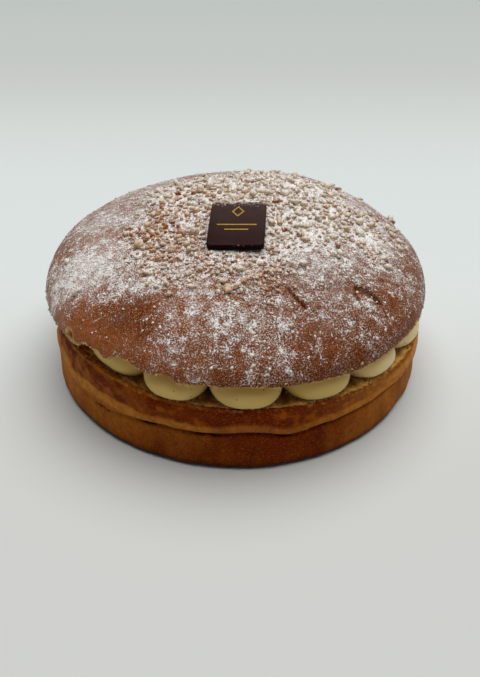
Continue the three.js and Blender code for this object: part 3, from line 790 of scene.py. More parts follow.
POCKET_ANGLE, POCKET_HEIGHT, LID_MM_PER_DEGREE = -50.5, 47.0, 1.6
edge_start = DOME_ROWS
row = np.arange(len(lid))[:, None] + 0 * lid_angle
angle = np.broadcast_to(lid_angle, lid.shape[:2])
share = np.clip(row / edge_start, 0, 1)
on_dome = smoothstep(row, edge_start + 9, edge_start)
near_edge = bell(row - edge_start, 8, 4.5)
torn_side = hump(angle, -62, 22) + 0.4 * hump(angle, 190, 16) + 0.25 * hump(angle, -20, 18)
broad = 0.30 * lumps(lid, 26, 71) + 0.14 * lumps(lid, 9, 72) + 0.06 * lumps(lid, 3.2, 73, 2)
under_crumble = 0.22 * crumble_at(lid) * lumps(lid, 2.6, 74)
ragged = near_edge * (0.30 + 0.60 * torn_side) * lumps(lid, 1.7, 75, 2)
ragged += near_edge * 0.30 * torn_side * lumps(lid, 5.0, 76)
lift = on_dome * (broad + under_crumble) * (share < 1.01) + ragged
pocket_away = degrees_from(angle, POCKET_ANGLE) * LID_MM_PER_DEGREE
from_pocket = np.hypot(pocket_away / 2.4, (lid[..., 2] - POCKET_HEIGHT) / 2.3)
from_pocket += 0.2 * lumps(lid, 2, 68)
pocket, pocket_rim = bell(from_pocket, 0, 1, 4), bell(from_pocket, 1.2, 0.26)
lift += 0.3 * pocket_rim - 1.6 * pocket
crumb_row = row + 3.6 + 4.2 * hump(angle, -40, 42)
crumb_row += 2.2 * lumps(lid, 1.5, 77, 2) + 3.0 * torn_side * lumps(lid, 3.5, 78)
crumb = smoothstep(crumb_row, edge_start + 7.4, edge_start + 8.6)
lift = lift + crumb * (row < len(lid) - 8) * 0.25 * lumps(lid, 1.2, 79, 2)
lid = lid + grid_normals(lid) * lift[..., None]

bake = 0.5 + 0.4 * lumps(lid, 22, 81) + 0.35 * lumps(lid, 6, 82, 2)
paint = blend("#904a22", "#5c260c", bake)
paint = blend(paint, "#4e2210", 0.6 * hump(angle, 50, 62) * smoothstep(share, 0.25, 0.55))
paint = blend(paint, "#a95c28", 0.6 * hump(angle, -45, 30) * smoothstep(share, 0.7, 0.9))
paint = blend(paint, "#5c1c05", 0.75 * hump(angle, 12, 34) * smoothstep(share, 0.80, 0.98))
bare_edge = smoothstep(row, edge_start - 1, edge_start + 6) * (1 - hump(angle, 0, 40))
paint = blend(paint, "#b06e2e", 0.5 * bare_edge)
under_grains = 0.35 + 0.3 * smoothstep(lid[..., 1], -45, -15)
dust = sugar_at(lid) + under_grains * crumble_at(lid)
dust = dust * smoothstep(row, edge_start + 3, edge_start - 2) * (1 - pocket) * (1 - pocket_rim)
film = np.clip(patches(lid, FILM_PATCHES, 1.0) + 0.1 * lumps(lid, 6, 84), 0, 1)
film *= smoothstep(share, 1.0, 0.9)
crumb_tone = blend("#f8dc9c", "#c88c42", 0.40 + 0.8 * lumps(lid, 1.3, 83, 2))
paint = blend(paint, "#80400f", 1.3 * pocket)
paint = blend(paint, crumb_tone, np.maximum(crumb, pocket_rim))
lid_data = closed_form("lid_crust", lid, {"paint": paint, "crumb": crumb, "dust": dust, "film": film})
print("relief from", lift.min().round(2), "to", lift.max().round(2), "mm")

# %% [markdown]
# ### Cracks need finer mesh
# A crack is narrower than the mesh is fine. So we cut only the faces round the cracks into smaller
# ones, with the same subdivide tool as in edit mode, and then press the cracks in. The paint layer
# is darkened in the same place, because little light and no sugar gets down there.

# %% Refine and press in the cracks
def points_of(data):
    """A mesh's points, in mm from the loaf's middle."""
    flat = np.zeros(len(data.vertices) * 3)
    data.vertices.foreach_get("co", flat)
    return flat.reshape(-1, 3) / MM - LOAF_MIDDLE


form = bmesh.new()
form.from_mesh(lid_data)
lid_points = points_of(lid_data)
close = (near_cracks(lid_points)[1] < 2.2) & (lid_points[:, 2] > 46.0)
edges = [e for e in form.edges if close[e.verts[0].index] or close[e.verts[1].index]]
bmesh.ops.subdivide_edges(form, edges=edges, cuts=2, use_grid_fill=True)
bmesh.ops.triangulate(form, faces=[f for f in form.faces if len(f.verts) > 4])
form.to_mesh(lid_data)
form.free()
lid_points = points_of(lid_data)
depth, _ = near_cracks(lid_points)
depth *= lid_points[:, 2] > 45.0
normals = np.zeros(len(lid_data.vertices) * 3)
lid_data.vertices.foreach_get("normal", normals)
lid_points = lid_points - normals.reshape(-1, 3) * depth[:, None]
lid_data.vertices.foreach_set("co", to_metres(lid_points).ravel())
dark = np.clip(depth / 0.7, 0, 1)
colours = np.zeros(len(lid_points) * 4)
lid_data.attributes["paint"].data.foreach_get("color", colours)
colours = colours.reshape(-1, 4)
colours[:, :3] = blend(blend(colours, "#70300e", 2.2 * dark), "#3c1406", 2.4 * dark - 1.1)
lid_data.attributes["paint"].data.foreach_set("color", colours.ravel())
values = np.zeros(len(lid_points))
lid_data.attributes["dust"].data.foreach_get("value", values)
lid_data.attributes["dust"].data.foreach_set("value", values * (1 - dark))
print(len(edges), "edges refined, deepest point", depth.max().round(2), "mm")

# %% [markdown]
# ### Sugared crust
# Icing sugar falls through the sieve as fine dust and as clots of about half a millimetre. The dust
# is a pale veil that greys the brown. The clots are white specks, more of them where the dust layer
# is higher: a noise pattern is compared with a threshold that the layer lowers. Real sugar is finer
# than a pixel here, so the specks are drawn as coarse as they need to be to show.

# %% Material of the lid
lid_crust, tree, place = new_material("Milk-bread crust, egg-washed and dusted with icing sugar")
paint_in = node(tree, "Attribute", attribute_name="paint")
dust_in = node(tree, "Attribute", attribute_name="dust")
mottle = node(tree, "TexNoise", {
    "Vector": place, "Scale": 1000 / 2.2, "Detail": 4.0, "Roughness": 0.62})
fine = node(tree, "TexNoise", {"Vector": place, "Scale": 1000 / 0.6, "Detail": 2.0, "Roughness": 0.6})
clots = node(tree, "TexNoise", {
    "Vector": place, "Scale": 1000 / 0.8, "Detail": 4.0, "Roughness": 0.8, "Distortion": 0.3})
clouds = node(tree, "TexNoise", {"Vector": place, "Scale": 1000 / 3.2, "Detail": 2.0})
darker = node(tree, "MapRange", [mottle, 0.45, 0.72, 0.0, 0.45])
crust1 = node(tree, "Mix", {0: darker, 6: paint_in, 7: "#4a1a08"}, data_type="RGBA")
lighter = node(tree, "MapRange", [fine, 0.52, 0.66, 0.0, 0.42])
crust2 = node(tree, "Mix", {0: lighter, 6: crust1, 7: "#c8864c"}, data_type="RGBA")
film_in = node(tree, "Attribute", attribute_name="film")
veil_share = node(tree, "Math", [
    dust_in.outputs["Fac"], 0.08, film_in.outputs["Fac"]], operation="MULTIPLY_ADD")
veil_amount = node(tree, "Math", [veil_share, clouds], operation="MULTIPLY", use_clamp=True)
veiled = node(tree, "Mix", {0: veil_amount, 6: crust2, 7: "#d3c7c1"}, data_type="RGBA")
cloud_lift = node(tree, "MapRange", [clouds, 0.2, 0.8, -0.14, 0.14])
threshold = node(tree, "MapRange", [dust_in.outputs["Fac"], 0.0, 1.0, 0.69, 0.46], clamp=False)
sandy = node(tree, "TexNoise", {"Vector": place, "Scale": 1000 / 0.5, "Detail": 1.0, "Roughness": 0.5})
sand_limit = node(tree, "MapRange", [dust_in.outputs["Fac"], 0.0, 1.0, 0.62, 0.5])
sand_over = node(tree, "Math", [sandy, sand_limit], operation="SUBTRACT")
sand_share = node(tree, "MapRange", [sand_over, 0.0, 0.045, 0.0, 0.8])
sand_tone = node(tree, "Mix", {
    0: dust_in.outputs["Fac"], 6: "#c08a60", 7: "#f0e8e4"}, data_type="RGBA")
sanded = node(tree, "Mix", {0: sand_share, 6: veiled, 7: sand_tone}, data_type="RGBA")
raised = node(tree, "Math", [clots, cloud_lift], operation="ADD")
over = node(tree, "Math", [raised, threshold], operation="SUBTRACT")
specks = node(tree, "MapRange", [over, -0.005, 0.035])
sugared = node(tree, "Mix", {0: specks, 6: sanded, 7: "#f4f1ef"}, data_type="RGBA")
rough = node(tree, "MapRange", [specks, 0.0, 1.0, 0.5, 0.95])
height_sum = node(tree, "Math", [fine, 0.5, specks], operation="MULTIPLY_ADD")
bump = node(tree, "Bump", {"Height": height_sum, "Strength": 0.6, "Distance": 0.0003})
skin = node(tree, "BsdfPrincipled", {
    "Base Color": sugared, "Roughness": rough, "Normal": bump, "IOR": 1.45, "Specular IOR Level": 0.08})
node(tree, "OutputMaterial", [skin])
finish_piece(lid_data, ["brioche_lid"], lid_crust)

# %% [markdown]
# ## Crumble, sugar and crumbs: stamping small shapes
# Thousands of grains need only a few dozen different shapes. Each shape is a handful of random
# points wrapped with the convex hull tool, as if shrink-wrapped, which gives broken, faceted crumbs.
# A grain of crumble is three of them pressed together. We stamp copies of the shapes, turned and
# sized at random, into one mesh for each kind of topping.


# %% Small shapes and stamping
def hull_shapes(count, points, flatness, seed):
    """A few irregular crumbs of about 1 mm, as (points, triangles)."""
    shapes, chance = [], np.random.default_rng(seed)
    for _ in range(count):
        form = bmesh.new()
        for _ in range(points):
            way = chance.normal(size=3)
            way = way / np.linalg.norm(way) * chance.uniform(0.34, 0.60)
            form.verts.new(way * [chance.uniform(0.8, 1.2), 1.0, flatness])
        wrapped = bmesh.ops.convex_hull(form, input=form.verts)
        left_over = list({*wrapped["geom_interior"], *wrapped["geom_unused"]})
        bmesh.ops.delete(form, geom=left_over, context="VERTS")
        bmesh.ops.triangulate(form, faces=form.faces)
        bmesh.ops.recalc_face_normals(form, faces=form.faces)
        form.verts.index_update()
        shapes.append((
            np.array([v.co for v in form.verts]),
            np.array([[v.index for v in f.verts] for f in form.faces]),
        ))
        form.free()
    return shapes


def turning(normal, shares):
    """Rotation matrices that stand +Z along each normal, spun about it by a share of a turn."""
    up, spins = unit(normal), shares * 6.28
    side = unit(np.cross(up, np.stack([np.cos(spins), np.sin(spins), 0.3 + 0 * spins], -1)))
    return np.stack([side, np.cross(up, side), up], -1)


def stamp(name, shapes, places, turns, sizes, layers, seed):
    """One mesh of a shape at each place: sizes are in mm along the shape's own three directions."""
    chance = np.random.default_rng(seed)
    chosen = chance.integers(0, len(shapes), len(places))
    points, faces, owner, start = [], [], [], 0
    for k, (place, turn, size) in enumerate(zip(places, turns, sizes)):
        shape, triangles = shapes[chosen[k]]
        points.append((shape * size) @ turn.T + place)
        faces.append(triangles + start)
        owner.append(np.full(len(shape), k))
        start += len(shape)
    points, faces, owner = np.concatenate(points), np.concatenate(faces), np.concatenate(owner)
    data = bpy.data.meshes.new(name)
    data.from_pydata(to_metres(points).tolist(), [], faces.tolist())
    for layer, values in layers.items():
        add_layer(data, layer, values[owner])
    return data


def clumped(parts, count, seed):
    """Lumpy crumbs: each is three small ones pressed into each other."""
    chance, shapes = np.random.default_rng(seed), []
    for _ in range(count):
        points, faces, start = [], [], 0
        for k in range(3):
            shape, triangles = parts[chance.integers(len(parts))]
            way = chance.normal(size=3) * [1, 1, 0.6]
            points.append(shape * (0.86 - 0.1 * k) + way / np.linalg.norm(way) * 0.18)
            faces.append(triangles + start)
            start += len(shape)
        shapes.append((np.concatenate(points), np.concatenate(faces)))
    return shapes


crumb_shapes = clumped(hull_shapes(24, 9, 0.85, 101), 36, 102)
print(len(crumb_shapes), "crumb shapes of about", len(crumb_shapes[0][1]), "triangles")


# %% Find places on the dome
def strewn(chance, count, widest):
    """Places thrown evenly over a disc, seen from above."""
    reach = widest * np.sqrt(chance.random(count))
    turn = chance.random(count) * 2 * math.pi
    return np.stack([reach * np.cos(turn), reach * np.sin(turn), 0 * turn], -1)


def dome_above(x, y):
    """The dome's point above a place seen from above, and its outward direction."""
    share = np.hypot(x, y) / LID_RADIUS
    for _ in range(14):
        shift = 1 - share * share
        dx, dy = x - LID_OFFSET[0] - DOME_SHIFT[0] * shift, y - LID_OFFSET[1] - DOME_SHIFT[1] * shift
        angle = np.arctan2(dx, -dy)
        share = np.minimum(0.985, np.hypot(dx, dy) / lid_radius(angle))
    here = dome_point(angle, share)
    step = 0.002
    out_more = dome_point(angle, np.minimum(share + step, 0.999))
    round_more = dome_point(angle + step, np.maximum(share, 0.02))
    normal = np.cross(out_more - here, round_more - dome_point(angle, np.maximum(share, 0.02)))
    normal *= np.where(normal[:, 2:] < 0, -1, 1)
    waves = 0.30 * lumps(here, 26, 71) + 0.14 * lumps(here, 9, 72)
    return here + unit(normal) * waves[:, None], normal


print("dome above the middle:", dome_above(np.array([0.0]), np.array([0.0]))[0].round(1))

# %% [markdown]
# ### Crumble
# The biggest grains are found by the rule that fused them to the CAD lid, so the collision model and
# the picture agree; the few outside the crumble patches are left out. Smaller ones fill in between:
# candidates are thrown over the lid and kept where the patches say so and no other grain is in the
# way. Ten strays lie in front.

# %% The large grains, by the CAD's own rule
PLAQUE_SIZE = (25.0, 29.0, 3.0)
PLAQUE_MIDDLE = (-0.2, -21.8, 82.2)
PLAQUE_PITCH, PLAQUE_ROLL, PLAQUE_TURN = 15.0, -2.2, -4.9
plaque_turn = Euler([math.radians(a) for a in (PLAQUE_PITCH, PLAQUE_ROLL, PLAQUE_TURN)], "XYZ")


def seeded(seed):
    """The CAD's repeatable stream of numbers between 0 and 1."""
    state = seed
    while True:
        state = (state * 1664525 + 1013904223) % 4294967296
        yield state / 4294967296


def grain_cover(x, y):
    step = lambda v, low, high: float(smoothstep(np.array(v), low, high))
    top = 1 - step(math.hypot(x - 2, y - 6), 26, 58)
    left = math.exp(-(((x + 36) / 18) ** 2) - ((y + 10) / 30) ** 2)
    right = math.exp(-(((x - 58) / 18) ** 2) - ((y - 4) / 20) ** 2)
    return min(1, (top + left + right) * (0.03 + 0.97 * step(y, -62, -34)))


def near_plaque(x, y, margin):
    """Whether places lie under the plaque or near its sides."""
    turn = math.radians(PLAQUE_TURN)
    dx, dy = x - PLAQUE_MIDDLE[0], y - PLAQUE_MIDDLE[1] - 0.6
    across = dx * math.cos(turn) + dy * math.sin(turn)
    along = -dx * math.sin(turn) + dy * math.cos(turn)
    return (abs(across) < PLAQUE_SIZE[0] / 2 + margin) & (abs(along) < PLAQUE_SIZE[1] / 2 + margin)


GRAIN_PLACES, MOST_GRAINS, GRAINS_REACH, GRAINS_APART = 760, 135, 82.0, 4.6
LARGEST_GRAIN = 4.2


def large_grains():
    """Places and sizes of the grains that are fused to the CAD lid."""
    chance, golden, found = seeded(4711), math.pi * (3 - math.sqrt(5)), []
    for i in range(GRAIN_PLACES):
        order = (i * 377) % GRAIN_PLACES
        reach = GRAINS_REACH * math.sqrt((order + 0.5) / GRAIN_PLACES)
        x = reach * math.cos(golden * order) + (next(chance) - 0.5) * 1.6
        y = reach * math.sin(golden * order) + (next(chance) - 0.5) * 1.6
        keep = next(chance) < grain_cover(x, y)
        for _ in range(4):  # the CAD draws each grain's turns and stretch here
            next(chance)
        if not keep or len(found) >= MOST_GRAINS:
            continue
        size = LARGEST_GRAIN - 1.9 * len(found) / MOST_GRAINS
        crowded = any(math.hypot(g[0] - x, g[1] - y) < GRAINS_APART for g in found)
        if not crowded and not near_plaque(x, y, 1.6 + size / 2):
            found.append((x, y, size))
    return np.array(found)


large = large_grains()
large = large[crumble_at(large) > 0.3]
print(len(large), "large grains")

# %% Fill in with smaller grains
CANDIDATES, CELL = 24000, 5
GRAIN_SPACING = 0.37  # share of their added sizes that two grains keep apart
STRAY_SIZE = 1.6
STRAYS = [
    (37.8, -65.0), (36.4, -66.3), (55.9, -61.7), (64.9, -58.4), (32.0, -72.8),
    (-8.6, -66.6), (-3.8, -81.7), (-23.8, -78.2), (5, -65.9), (13.8, -65.3),
]
chance = np.random.default_rng(202)
spots = strewn(chance, CANDIDATES, 86)
wanted = crumble_at(spots)
cells, small = {}, []
for grain in large:
    cells.setdefault((int(grain[0] // CELL), int(grain[1] // CELL)), []).append(tuple(grain))
sizes = np.clip(chance.gamma(4.5, 0.72, CANDIDATES), 2.0, 5.0)
sizes *= 1 + 0.22 * smoothstep(spots[:, 1], -25, 10)
wanted *= smoothstep(lumps(spots, 6.5, 56, 2) + 0.8 * wanted, 0.0, 0.7)
wanted *= 1 - 0.25 * smoothstep(spots[:, 0], 8, 30) - 0.15 * smoothstep(spots[:, 1], -44, -54)
under = plaque_turn.to_matrix() @ Vector((0, 0, 1))
rise = -PLAQUE_SIZE[2] - under.x * (spots[:, 0] - PLAQUE_MIDDLE[0])
rise -= under.y * (spots[:, 1] - PLAQUE_MIDDLE[1])
headroom = PLAQUE_MIDDLE[2] + rise / under.z - dome_above(spots[:, 0], spots[:, 1])[0][:, 2]
for (x, y, _), want, size, luck, gap in zip(spots, wanted, sizes, chance.random(CANDIDATES), headroom):
    if luck > want**1.5:
        continue
    if near_plaque(x, y, 0.05 + size / 2):
        size = min(size, (gap - 0.55) / 1.05)
        if size < 0.8:
            continue
    cx, cy = int(x // CELL), int(y // CELL)
    around = [g for i in (-1, 0, 1) for j in (-1, 0, 1) for g in cells.get((cx + i, cy + j), [])]
    if any((g[0] - x) ** 2 + (g[1] - y) ** 2 < (GRAIN_SPACING * (g[2] + size)) ** 2 for g in around):
        continue
    cells.setdefault((cx, cy), []).append((x, y, size))
    small.append((x, y, size))
small = np.array(small + [(x, y, STRAY_SIZE) for x, y in STRAYS])
print(len(small), "smaller grains")

# %% Stamp the crumble
GRAIN_TONES = ["#f5e6d0", "#ecd0ac", "#daaa7a", "#bd7c4a", "#8f4a26"]
TOASTED_PATCHES = [(-36, -14, 14, 20, 1.0), (-26, 20, 16, 9, 0.8), (2, -48, 16, 10, 0.55)]
grain_x = np.concatenate([large[:, 0], small[:, 0]])
grain_y = np.concatenate([large[:, 1], small[:, 1]])
grain_size = np.concatenate([large[:, 2] * 1.1, small[:, 2]])
surface, normal = dome_above(grain_x, grain_y)
lean = unit(normal) + chance.normal(0, 0.35, normal.shape)
grain_turns = turning(lean, chance.random(len(grain_x)))
lifted = grain_size * (0.18 - 0.14 * smoothstep(grain_y, 20, 55))
grain_middle = surface + [0, 0, 1] * lifted[:, None]
grain_sizes = grain_size[:, None] * chance.uniform(0.75, 1.2, (len(grain_x), 3))
toasted = patches(surface, TOASTED_PATCHES, 1.5)
tone_at = chance.normal(0.9, 0.9, len(grain_x)) + 1.3 * toasted + 0.7 * smoothstep(grain_y, -52, -62)
tone_at -= 0.7 * smoothstep(grain_y, 5, 40) * (1 - toasted)
tone_at = np.clip(tone_at, 0, 3.999)
tones = np.array([linear(c)[:3] for c in GRAIN_TONES])
low_tone = tone_at.astype(int)
grain_paint = blend(tones[low_tone], tones[low_tone + 1], tone_at - low_tone)
grain_paint = grain_paint * chance.uniform(0.88, 1.06, (len(grain_x), 1))
whiter = 0.25 * smoothstep(grain_y, 5, 45) + 0.15 * smoothstep(grain_x, 5, 30)
whiter -= 0.3 * smoothstep(grain_y, -52, -62)
grain_dust = np.clip(0.38 + 0.9 * sugar_at(surface) - 0.5 * toasted + whiter, 0, 1)
crumble_data = stamp("baked_crumble", crumb_shapes, grain_middle, grain_turns, grain_sizes,
                     {"paint": grain_paint, "dust": grain_dust}, 203)

# %% [markdown]
# ### Baked crumble
# Crumble is butter, sugar and flour rubbed together: dry, sandy and matt, ivory where it is pale and
# brown where the oven caught it. Sugar sieved from above lies on top of each grain and leaves its
# sides clean, so the shader whitens only what faces up.

# %% Material of the crumble
crumble, tree, place = new_material("Butter crumble, baked and sugared")
paint_in = node(tree, "Attribute", attribute_name="paint")
dust_in = node(tree, "Attribute", attribute_name="dust")
facing = node(tree, "SeparateXYZ", [node(tree, "NewGeometry").outputs["Normal"]])
sandy = node(tree, "TexNoise", {"Vector": place, "Scale": 1000 / 0.6, "Detail": 3.0, "Roughness": 0.7})
upward = node(tree, "MapRange", [facing.outputs["Z"], 0.15, 0.85])
grainy = node(tree, "MapRange", [sandy, 0.38, 0.54])
lies = node(tree, "Math", [upward, grainy], operation="MULTIPLY")
covered = node(tree, "Math", [lies, dust_in.outputs["Fac"]], operation="MULTIPLY", use_clamp=True)
shade = node(tree, "MapRange", [sandy, 0.3, 0.6, 0.5, 0.0])
body = node(tree, "Mix", {0: shade, 6: paint_in, 7: "#965c38"}, data_type="RGBA")
topped = node(tree, "Mix", {0: covered, 6: body, 7: "#f4f1ef"}, data_type="RGBA")
bump = node(tree, "Bump", {"Height": sandy, "Strength": 0.5, "Distance": 0.0003})
skin = node(tree, "BsdfPrincipled", {
    "Base Color": topped, "Roughness": 0.85, "Normal": bump, "IOR": 1.45, "Specular IOR Level": 0.3})
node(tree, "OutputMaterial", [skin])
finish_piece(crumble_data, ["brioche_lid"], crumble)

# %% [markdown]
# ### Clots of icing sugar
# The shader's specks are flat. Larger clots stand up and cast tiny shadows, which is what makes
# sieved sugar look dry. They are scattered more thickly where the sugar patches are stronger.

# %% Scatter and stamp the sugar clots
SUGAR_REACH = 91.4


def sprinkle(name, shapes, candidates, limit, sizes, thinning, seed):
    """Sugar grains of one kind, thrown over the lid and kept where the sugar patches want them."""
    chance = np.random.default_rng(seed)
    spots = strewn(chance, candidates, SUGAR_REACH)
    from_middle = np.hypot(spots[:, 0] - LID_OFFSET[0], spots[:, 1] - LID_OFFSET[1])
    cluster = np.clip(0.5 + 1.2 * lumps(spots, 2.2, 55, 2), 0, 1)
    wanted = (0.02 + sugar_at(spots) ** 1.5 * cluster) * smoothstep(from_middle, SUGAR_REACH, 89)
    keep = chance.random(candidates) < wanted * thinning
    in_crack = near_cracks(spots)[1] < 1.1
    spots = spots[keep & ~in_crack & ~near_plaque(spots[:, 0], spots[:, 1], -0.6)][:limit]
    surface, normal = dome_above(spots[:, 0], spots[:, 1])
    smallest, usual, largest = sizes
    across = np.clip(chance.lognormal(math.log(usual), 0.35, len(spots)), smallest, largest)
    grain_sizes = across[:, None] * chance.uniform(0.7, 1.3, (len(spots), 3)) * [1.1, 0.95, 0.75]
    turns = turning(normal, chance.random(len(spots)))
    middles = surface + unit(normal) * (across * 0.12)[:, None]
    return stamp(name, shapes, middles, turns, grain_sizes, {}, seed + 1)


clot_data = sprinkle(
    "icing_sugar_clots", hull_shapes(24, 8, 0.6, 301), 40000, 7000, (0.7, 0.95, 1.8), 0.45, 302)
speck_data = sprinkle(
    "icing_sugar_specks", hull_shapes(16, 6, 0.7, 305), 60000, 18000, (0.35, 0.55, 0.8), 0.9, 306)
icing_sugar, tree, place = new_material("Icing sugar, sieved")
powder = node(tree, "TexNoise", {"Vector": place, "Scale": 1000 / 0.5, "Detail": 2.0})
tone = node(tree, "Mix", {0: powder, 6: "#f8f6f4", 7: "#e8e0da"}, data_type="RGBA")
skin = node(tree, "BsdfPrincipled", {"Base Color": tone, "Roughness": 0.95, "Specular IOR Level": 0.2})
node(tree, "OutputMaterial", [skin])
finish_piece(clot_data, ["brioche_lid"], icing_sugar)
finish_piece(speck_data, ["brioche_lid"], icing_sugar)

# %% [markdown]
# ### Torn crumb along the cuts
# A bread knife tears as it cuts. Along the lid's lower line and round the rim of the base hang small
# pale flakes of crumb, and browner ones stick to the foot of the cream and lie in its creases, where
# they are darkened as painted shade. They are put on points of the bread and the cream, so they always
# touch them.

# %% Crumbs along the two cut edges and at the foot of the cream
LID_FLAKES, RIM_FLAKES, FOOT_FLAKES = 2600, 1700, 2600


def column_at(angle, columns):
    """The column of a grid that lies in this direction."""
    return (angle / (2 * math.pi) * columns).astype(int) % columns


chance = np.random.default_rng(402)
flake_shapes = hull_shapes(20, 9, 0.55, 401)
lid_column = column_at(chance.random(LID_FLAKES) * 2 * math.pi, LID_COLUMNS)
lid_column = lid_column[chance.random(LID_FLAKES) < 0.45 + 0.5 * torn_side[0, lid_column]]
lid_row = edge_start + 0.5 + chance.random(len(lid_column)) * 4.0
lid_edge_points = lid[lid_row.astype(int), lid_column]
base_column = column_at(chance.random(RIM_FLAKES) * 2 * math.pi, BASE_COLUMNS)
base_row = edge_row - 2 - chance.gamma(2.0, 2.2, RIM_FLAKES)
base_rim_points = base[np.clip(base_row, 6, edge_row).astype(int), base_column]
foot_column = chance.integers(0, len(cream_angle), FOOT_FLAKES)
foot_angle = cream_angle[foot_column]
foot = cream[len(top_disc) + side_rows - 9, foot_column]
foot_radius = np.hypot(foot[:, 0], foot[:, 1]) + chance.gamma(1.4, 0.45, len(foot)) - 0.2
foot_radius = np.minimum(foot_radius, lip_radius(foot_angle) - 2.8)
cream_foot_points = on_ring(foot_angle, foot_radius, base_top(foot_angle, foot_radius) + 0.2)
smeared = cream[len(top_disc) + side_rows - chance.integers(1, 12, len(foot)), foot_column]
cream_foot_points = np.where(chance.random((len(foot), 1)) < 0.5, smeared, cream_foot_points)
flake_points = np.concatenate([lid_edge_points, base_rim_points, cream_foot_points])
flake_points = flake_points + chance.normal(0, 0.12, flake_points.shape)
flake = np.clip(chance.lognormal(-0.45, 0.45, len(flake_points)), 0.3, 2.2)
at_foot = np.arange(len(flake_points)) >= len(flake_points) - len(foot)
flake = flake * np.where(at_foot, 1.7, 1.0)
flake[: len(lid_edge_points)] = np.minimum(1.5 * flake[: len(lid_edge_points)], 1.7)
flake_sizes = flake[:, None] * chance.uniform(0.6, 1.4, (len(flake_points), 3))
flake_turns = turning(chance.normal(size=flake_points.shape), chance.random(len(flake_points)))
# Painted shade: flakes deep in the creases between cream balls are darkened.
notch_shade = np.zeros(len(flake_points))
notch_shade[at_foot] = smoothstep(np.abs(across[foot_column]), 0.80, 0.93)
flake_paint = blend("#efd7a2", "#b9874a", chance.random(len(flake_points)))
browner = at_foot * (0.3 + 0.7 * chance.random(len(flake_points)))
flake_paint = blend(flake_paint, "#8f5f24", browner)
flake_paint = blend(flake_paint, "#50280c", 0.85 * notch_shade)
flake_data = stamp("torn_crumb_flakes", flake_shapes, flake_points, flake_turns, flake_sizes,
                   {"paint": flake_paint}, 403)
crumb_material, tree, place = new_material("Milk-bread crumb, torn by the knife")
paint_in = node(tree, "Attribute", attribute_name="paint")
airy = node(tree, "TexNoise", {"Vector": place, "Scale": 1000 / 0.6, "Detail": 2.0})
tone = node(tree, "Mix", {0: airy, 6: paint_in, 7: "#b98a4e"}, data_type="RGBA")
skin = node(tree, "BsdfPrincipled", {"Base Color": tone, "Roughness": 0.9, "Specular IOR Level": 0.2})
node(tree, "OutputMaterial", [skin])
finish_piece(flake_data, ["brioche_lid", "brioche_base"], crumb_material)

# %% [markdown]
# ## Chocolate plaque
# The plaque is a moulded slab of dark chocolate, 25 by 29 by 3 mm. It leans on a mound of crumble, so
# it slopes towards the viewer a little more than the dome does. It carries a plain lozenge and two
# rules in gold.

# %% Shape of the plaque
plaque_frame = Matrix.Translation(Vector(to_metres(PLAQUE_MIDDLE))) @ plaque_turn.to_matrix().to_4x4()
BEVEL = {
    "offset_type": "OFFSET", "affect": "EDGES", "profile": 0.5, "material": -1, "clamp_overlap": True}


def slab(form, size, middle, rounding, segments):
    """A flat block with rounded upright corners and softened edges, in mm on the plaque's own top."""
    made = bmesh.ops.create_cube(form, size=1.0)["verts"]
    bmesh.ops.scale(form, vec=size, verts=made)
    bmesh.ops.translate(form, vec=middle, verts=made)
    upright = {
        e for v in made for e in v.link_edges
        if abs((e.verts[0].co - e.verts[1].co).z) > size[2] * 0.5}
    bmesh.ops.bevel(form, geom=list(upright), offset=rounding, segments=segments, **BEVEL)


form = bmesh.new()
slab(form, PLAQUE_SIZE, (0, 0, -PLAQUE_SIZE[2] / 2), 2.2, 8)
flat_edges = [e for e in form.edges if len(e.link_faces) == 2 and e.calc_face_angle(0) > 1.2]
bmesh.ops.bevel(form, geom=flat_edges, offset=0.42, segments=4, **BEVEL)
bmesh.ops.triangulate(form, faces=[f for f in form.faces if len(f.verts) > 4])
long_edges = [e for e in form.edges if e.calc_length() > 6]
bmesh.ops.subdivide_edges(form, edges=long_edges, cuts=5, use_grid_fill=True)
bmesh.ops.triangulate(form, faces=[f for f in form.faces if len(f.verts) > 4])
slab_points = np.array([v.co for v in form.verts])
wave = 0.10 * lumps(slab_points, 9, 501) + 0.04 * lumps(slab_points, 2.5, 502)
for vert, rise in zip(form.verts, wave):
    vert.co.z += rise - 0.08
    vert.co.x *= 1 - 0.0012 * (1.5 + vert.co.z)
bmesh.ops.transform(form, matrix=plaque_frame @ Matrix.Scale(MM, 4), verts=form.verts)
plaque_data = bpy.data.meshes.new("chocolate_plaque_slab")
form.to_mesh(plaque_data)
form.free()
print("plaque has", len(plaque_data.polygons), "faces")

# %% [markdown]
# ### Moulded dark chocolate
# Tempered chocolate sets with a low sheen. Its face is paler towards the back: painted sheen, broken
# up by a noise for bloom. It is scuffed near the back and front edges, and these whitish marks are
# partly painted glints. The scuffs are a fine noise over a limit that falls towards those edges. The
# sides are darkened as painted shade.

# %% Material of the plaque
chocolate, tree, coords = new_material("Dark chocolate, moulded")
place = node(tree, "Mapping", {
    "Vector": coords, "Location": plaque_frame.translation, "Rotation": plaque_turn},
    vector_type="TEXTURE")
across = node(tree, "SeparateXYZ", [place])
bloom = node(tree, "TexNoise", {"Vector": place, "Scale": 1000 / 6.0, "Detail": 4.0, "Roughness": 0.6})
scuff = node(tree, "TexNoise", {"Vector": place, "Scale": 1000 / 1.2, "Detail": 4.0, "Roughness": 0.75})
# Painted sheen: the face is paler towards the back, broken up by the bloom noise.
painted_light_ramp = node(tree, "MapRange", [across.outputs["Y"], -0.01, 0.015])
spread = node(tree, "Math", [painted_light_ramp, bloom], operation="MULTIPLY", use_clamp=True)
tone = node(tree, "Mix", {0: spread, 6: "#2b100f", 7: "#52423c"}, data_type="RGBA")
# Painted shade: the slab's sides are darkened.
painted_side_shade = node(tree, "MapRange", [across.outputs["Z"], -0.0003, -0.001])
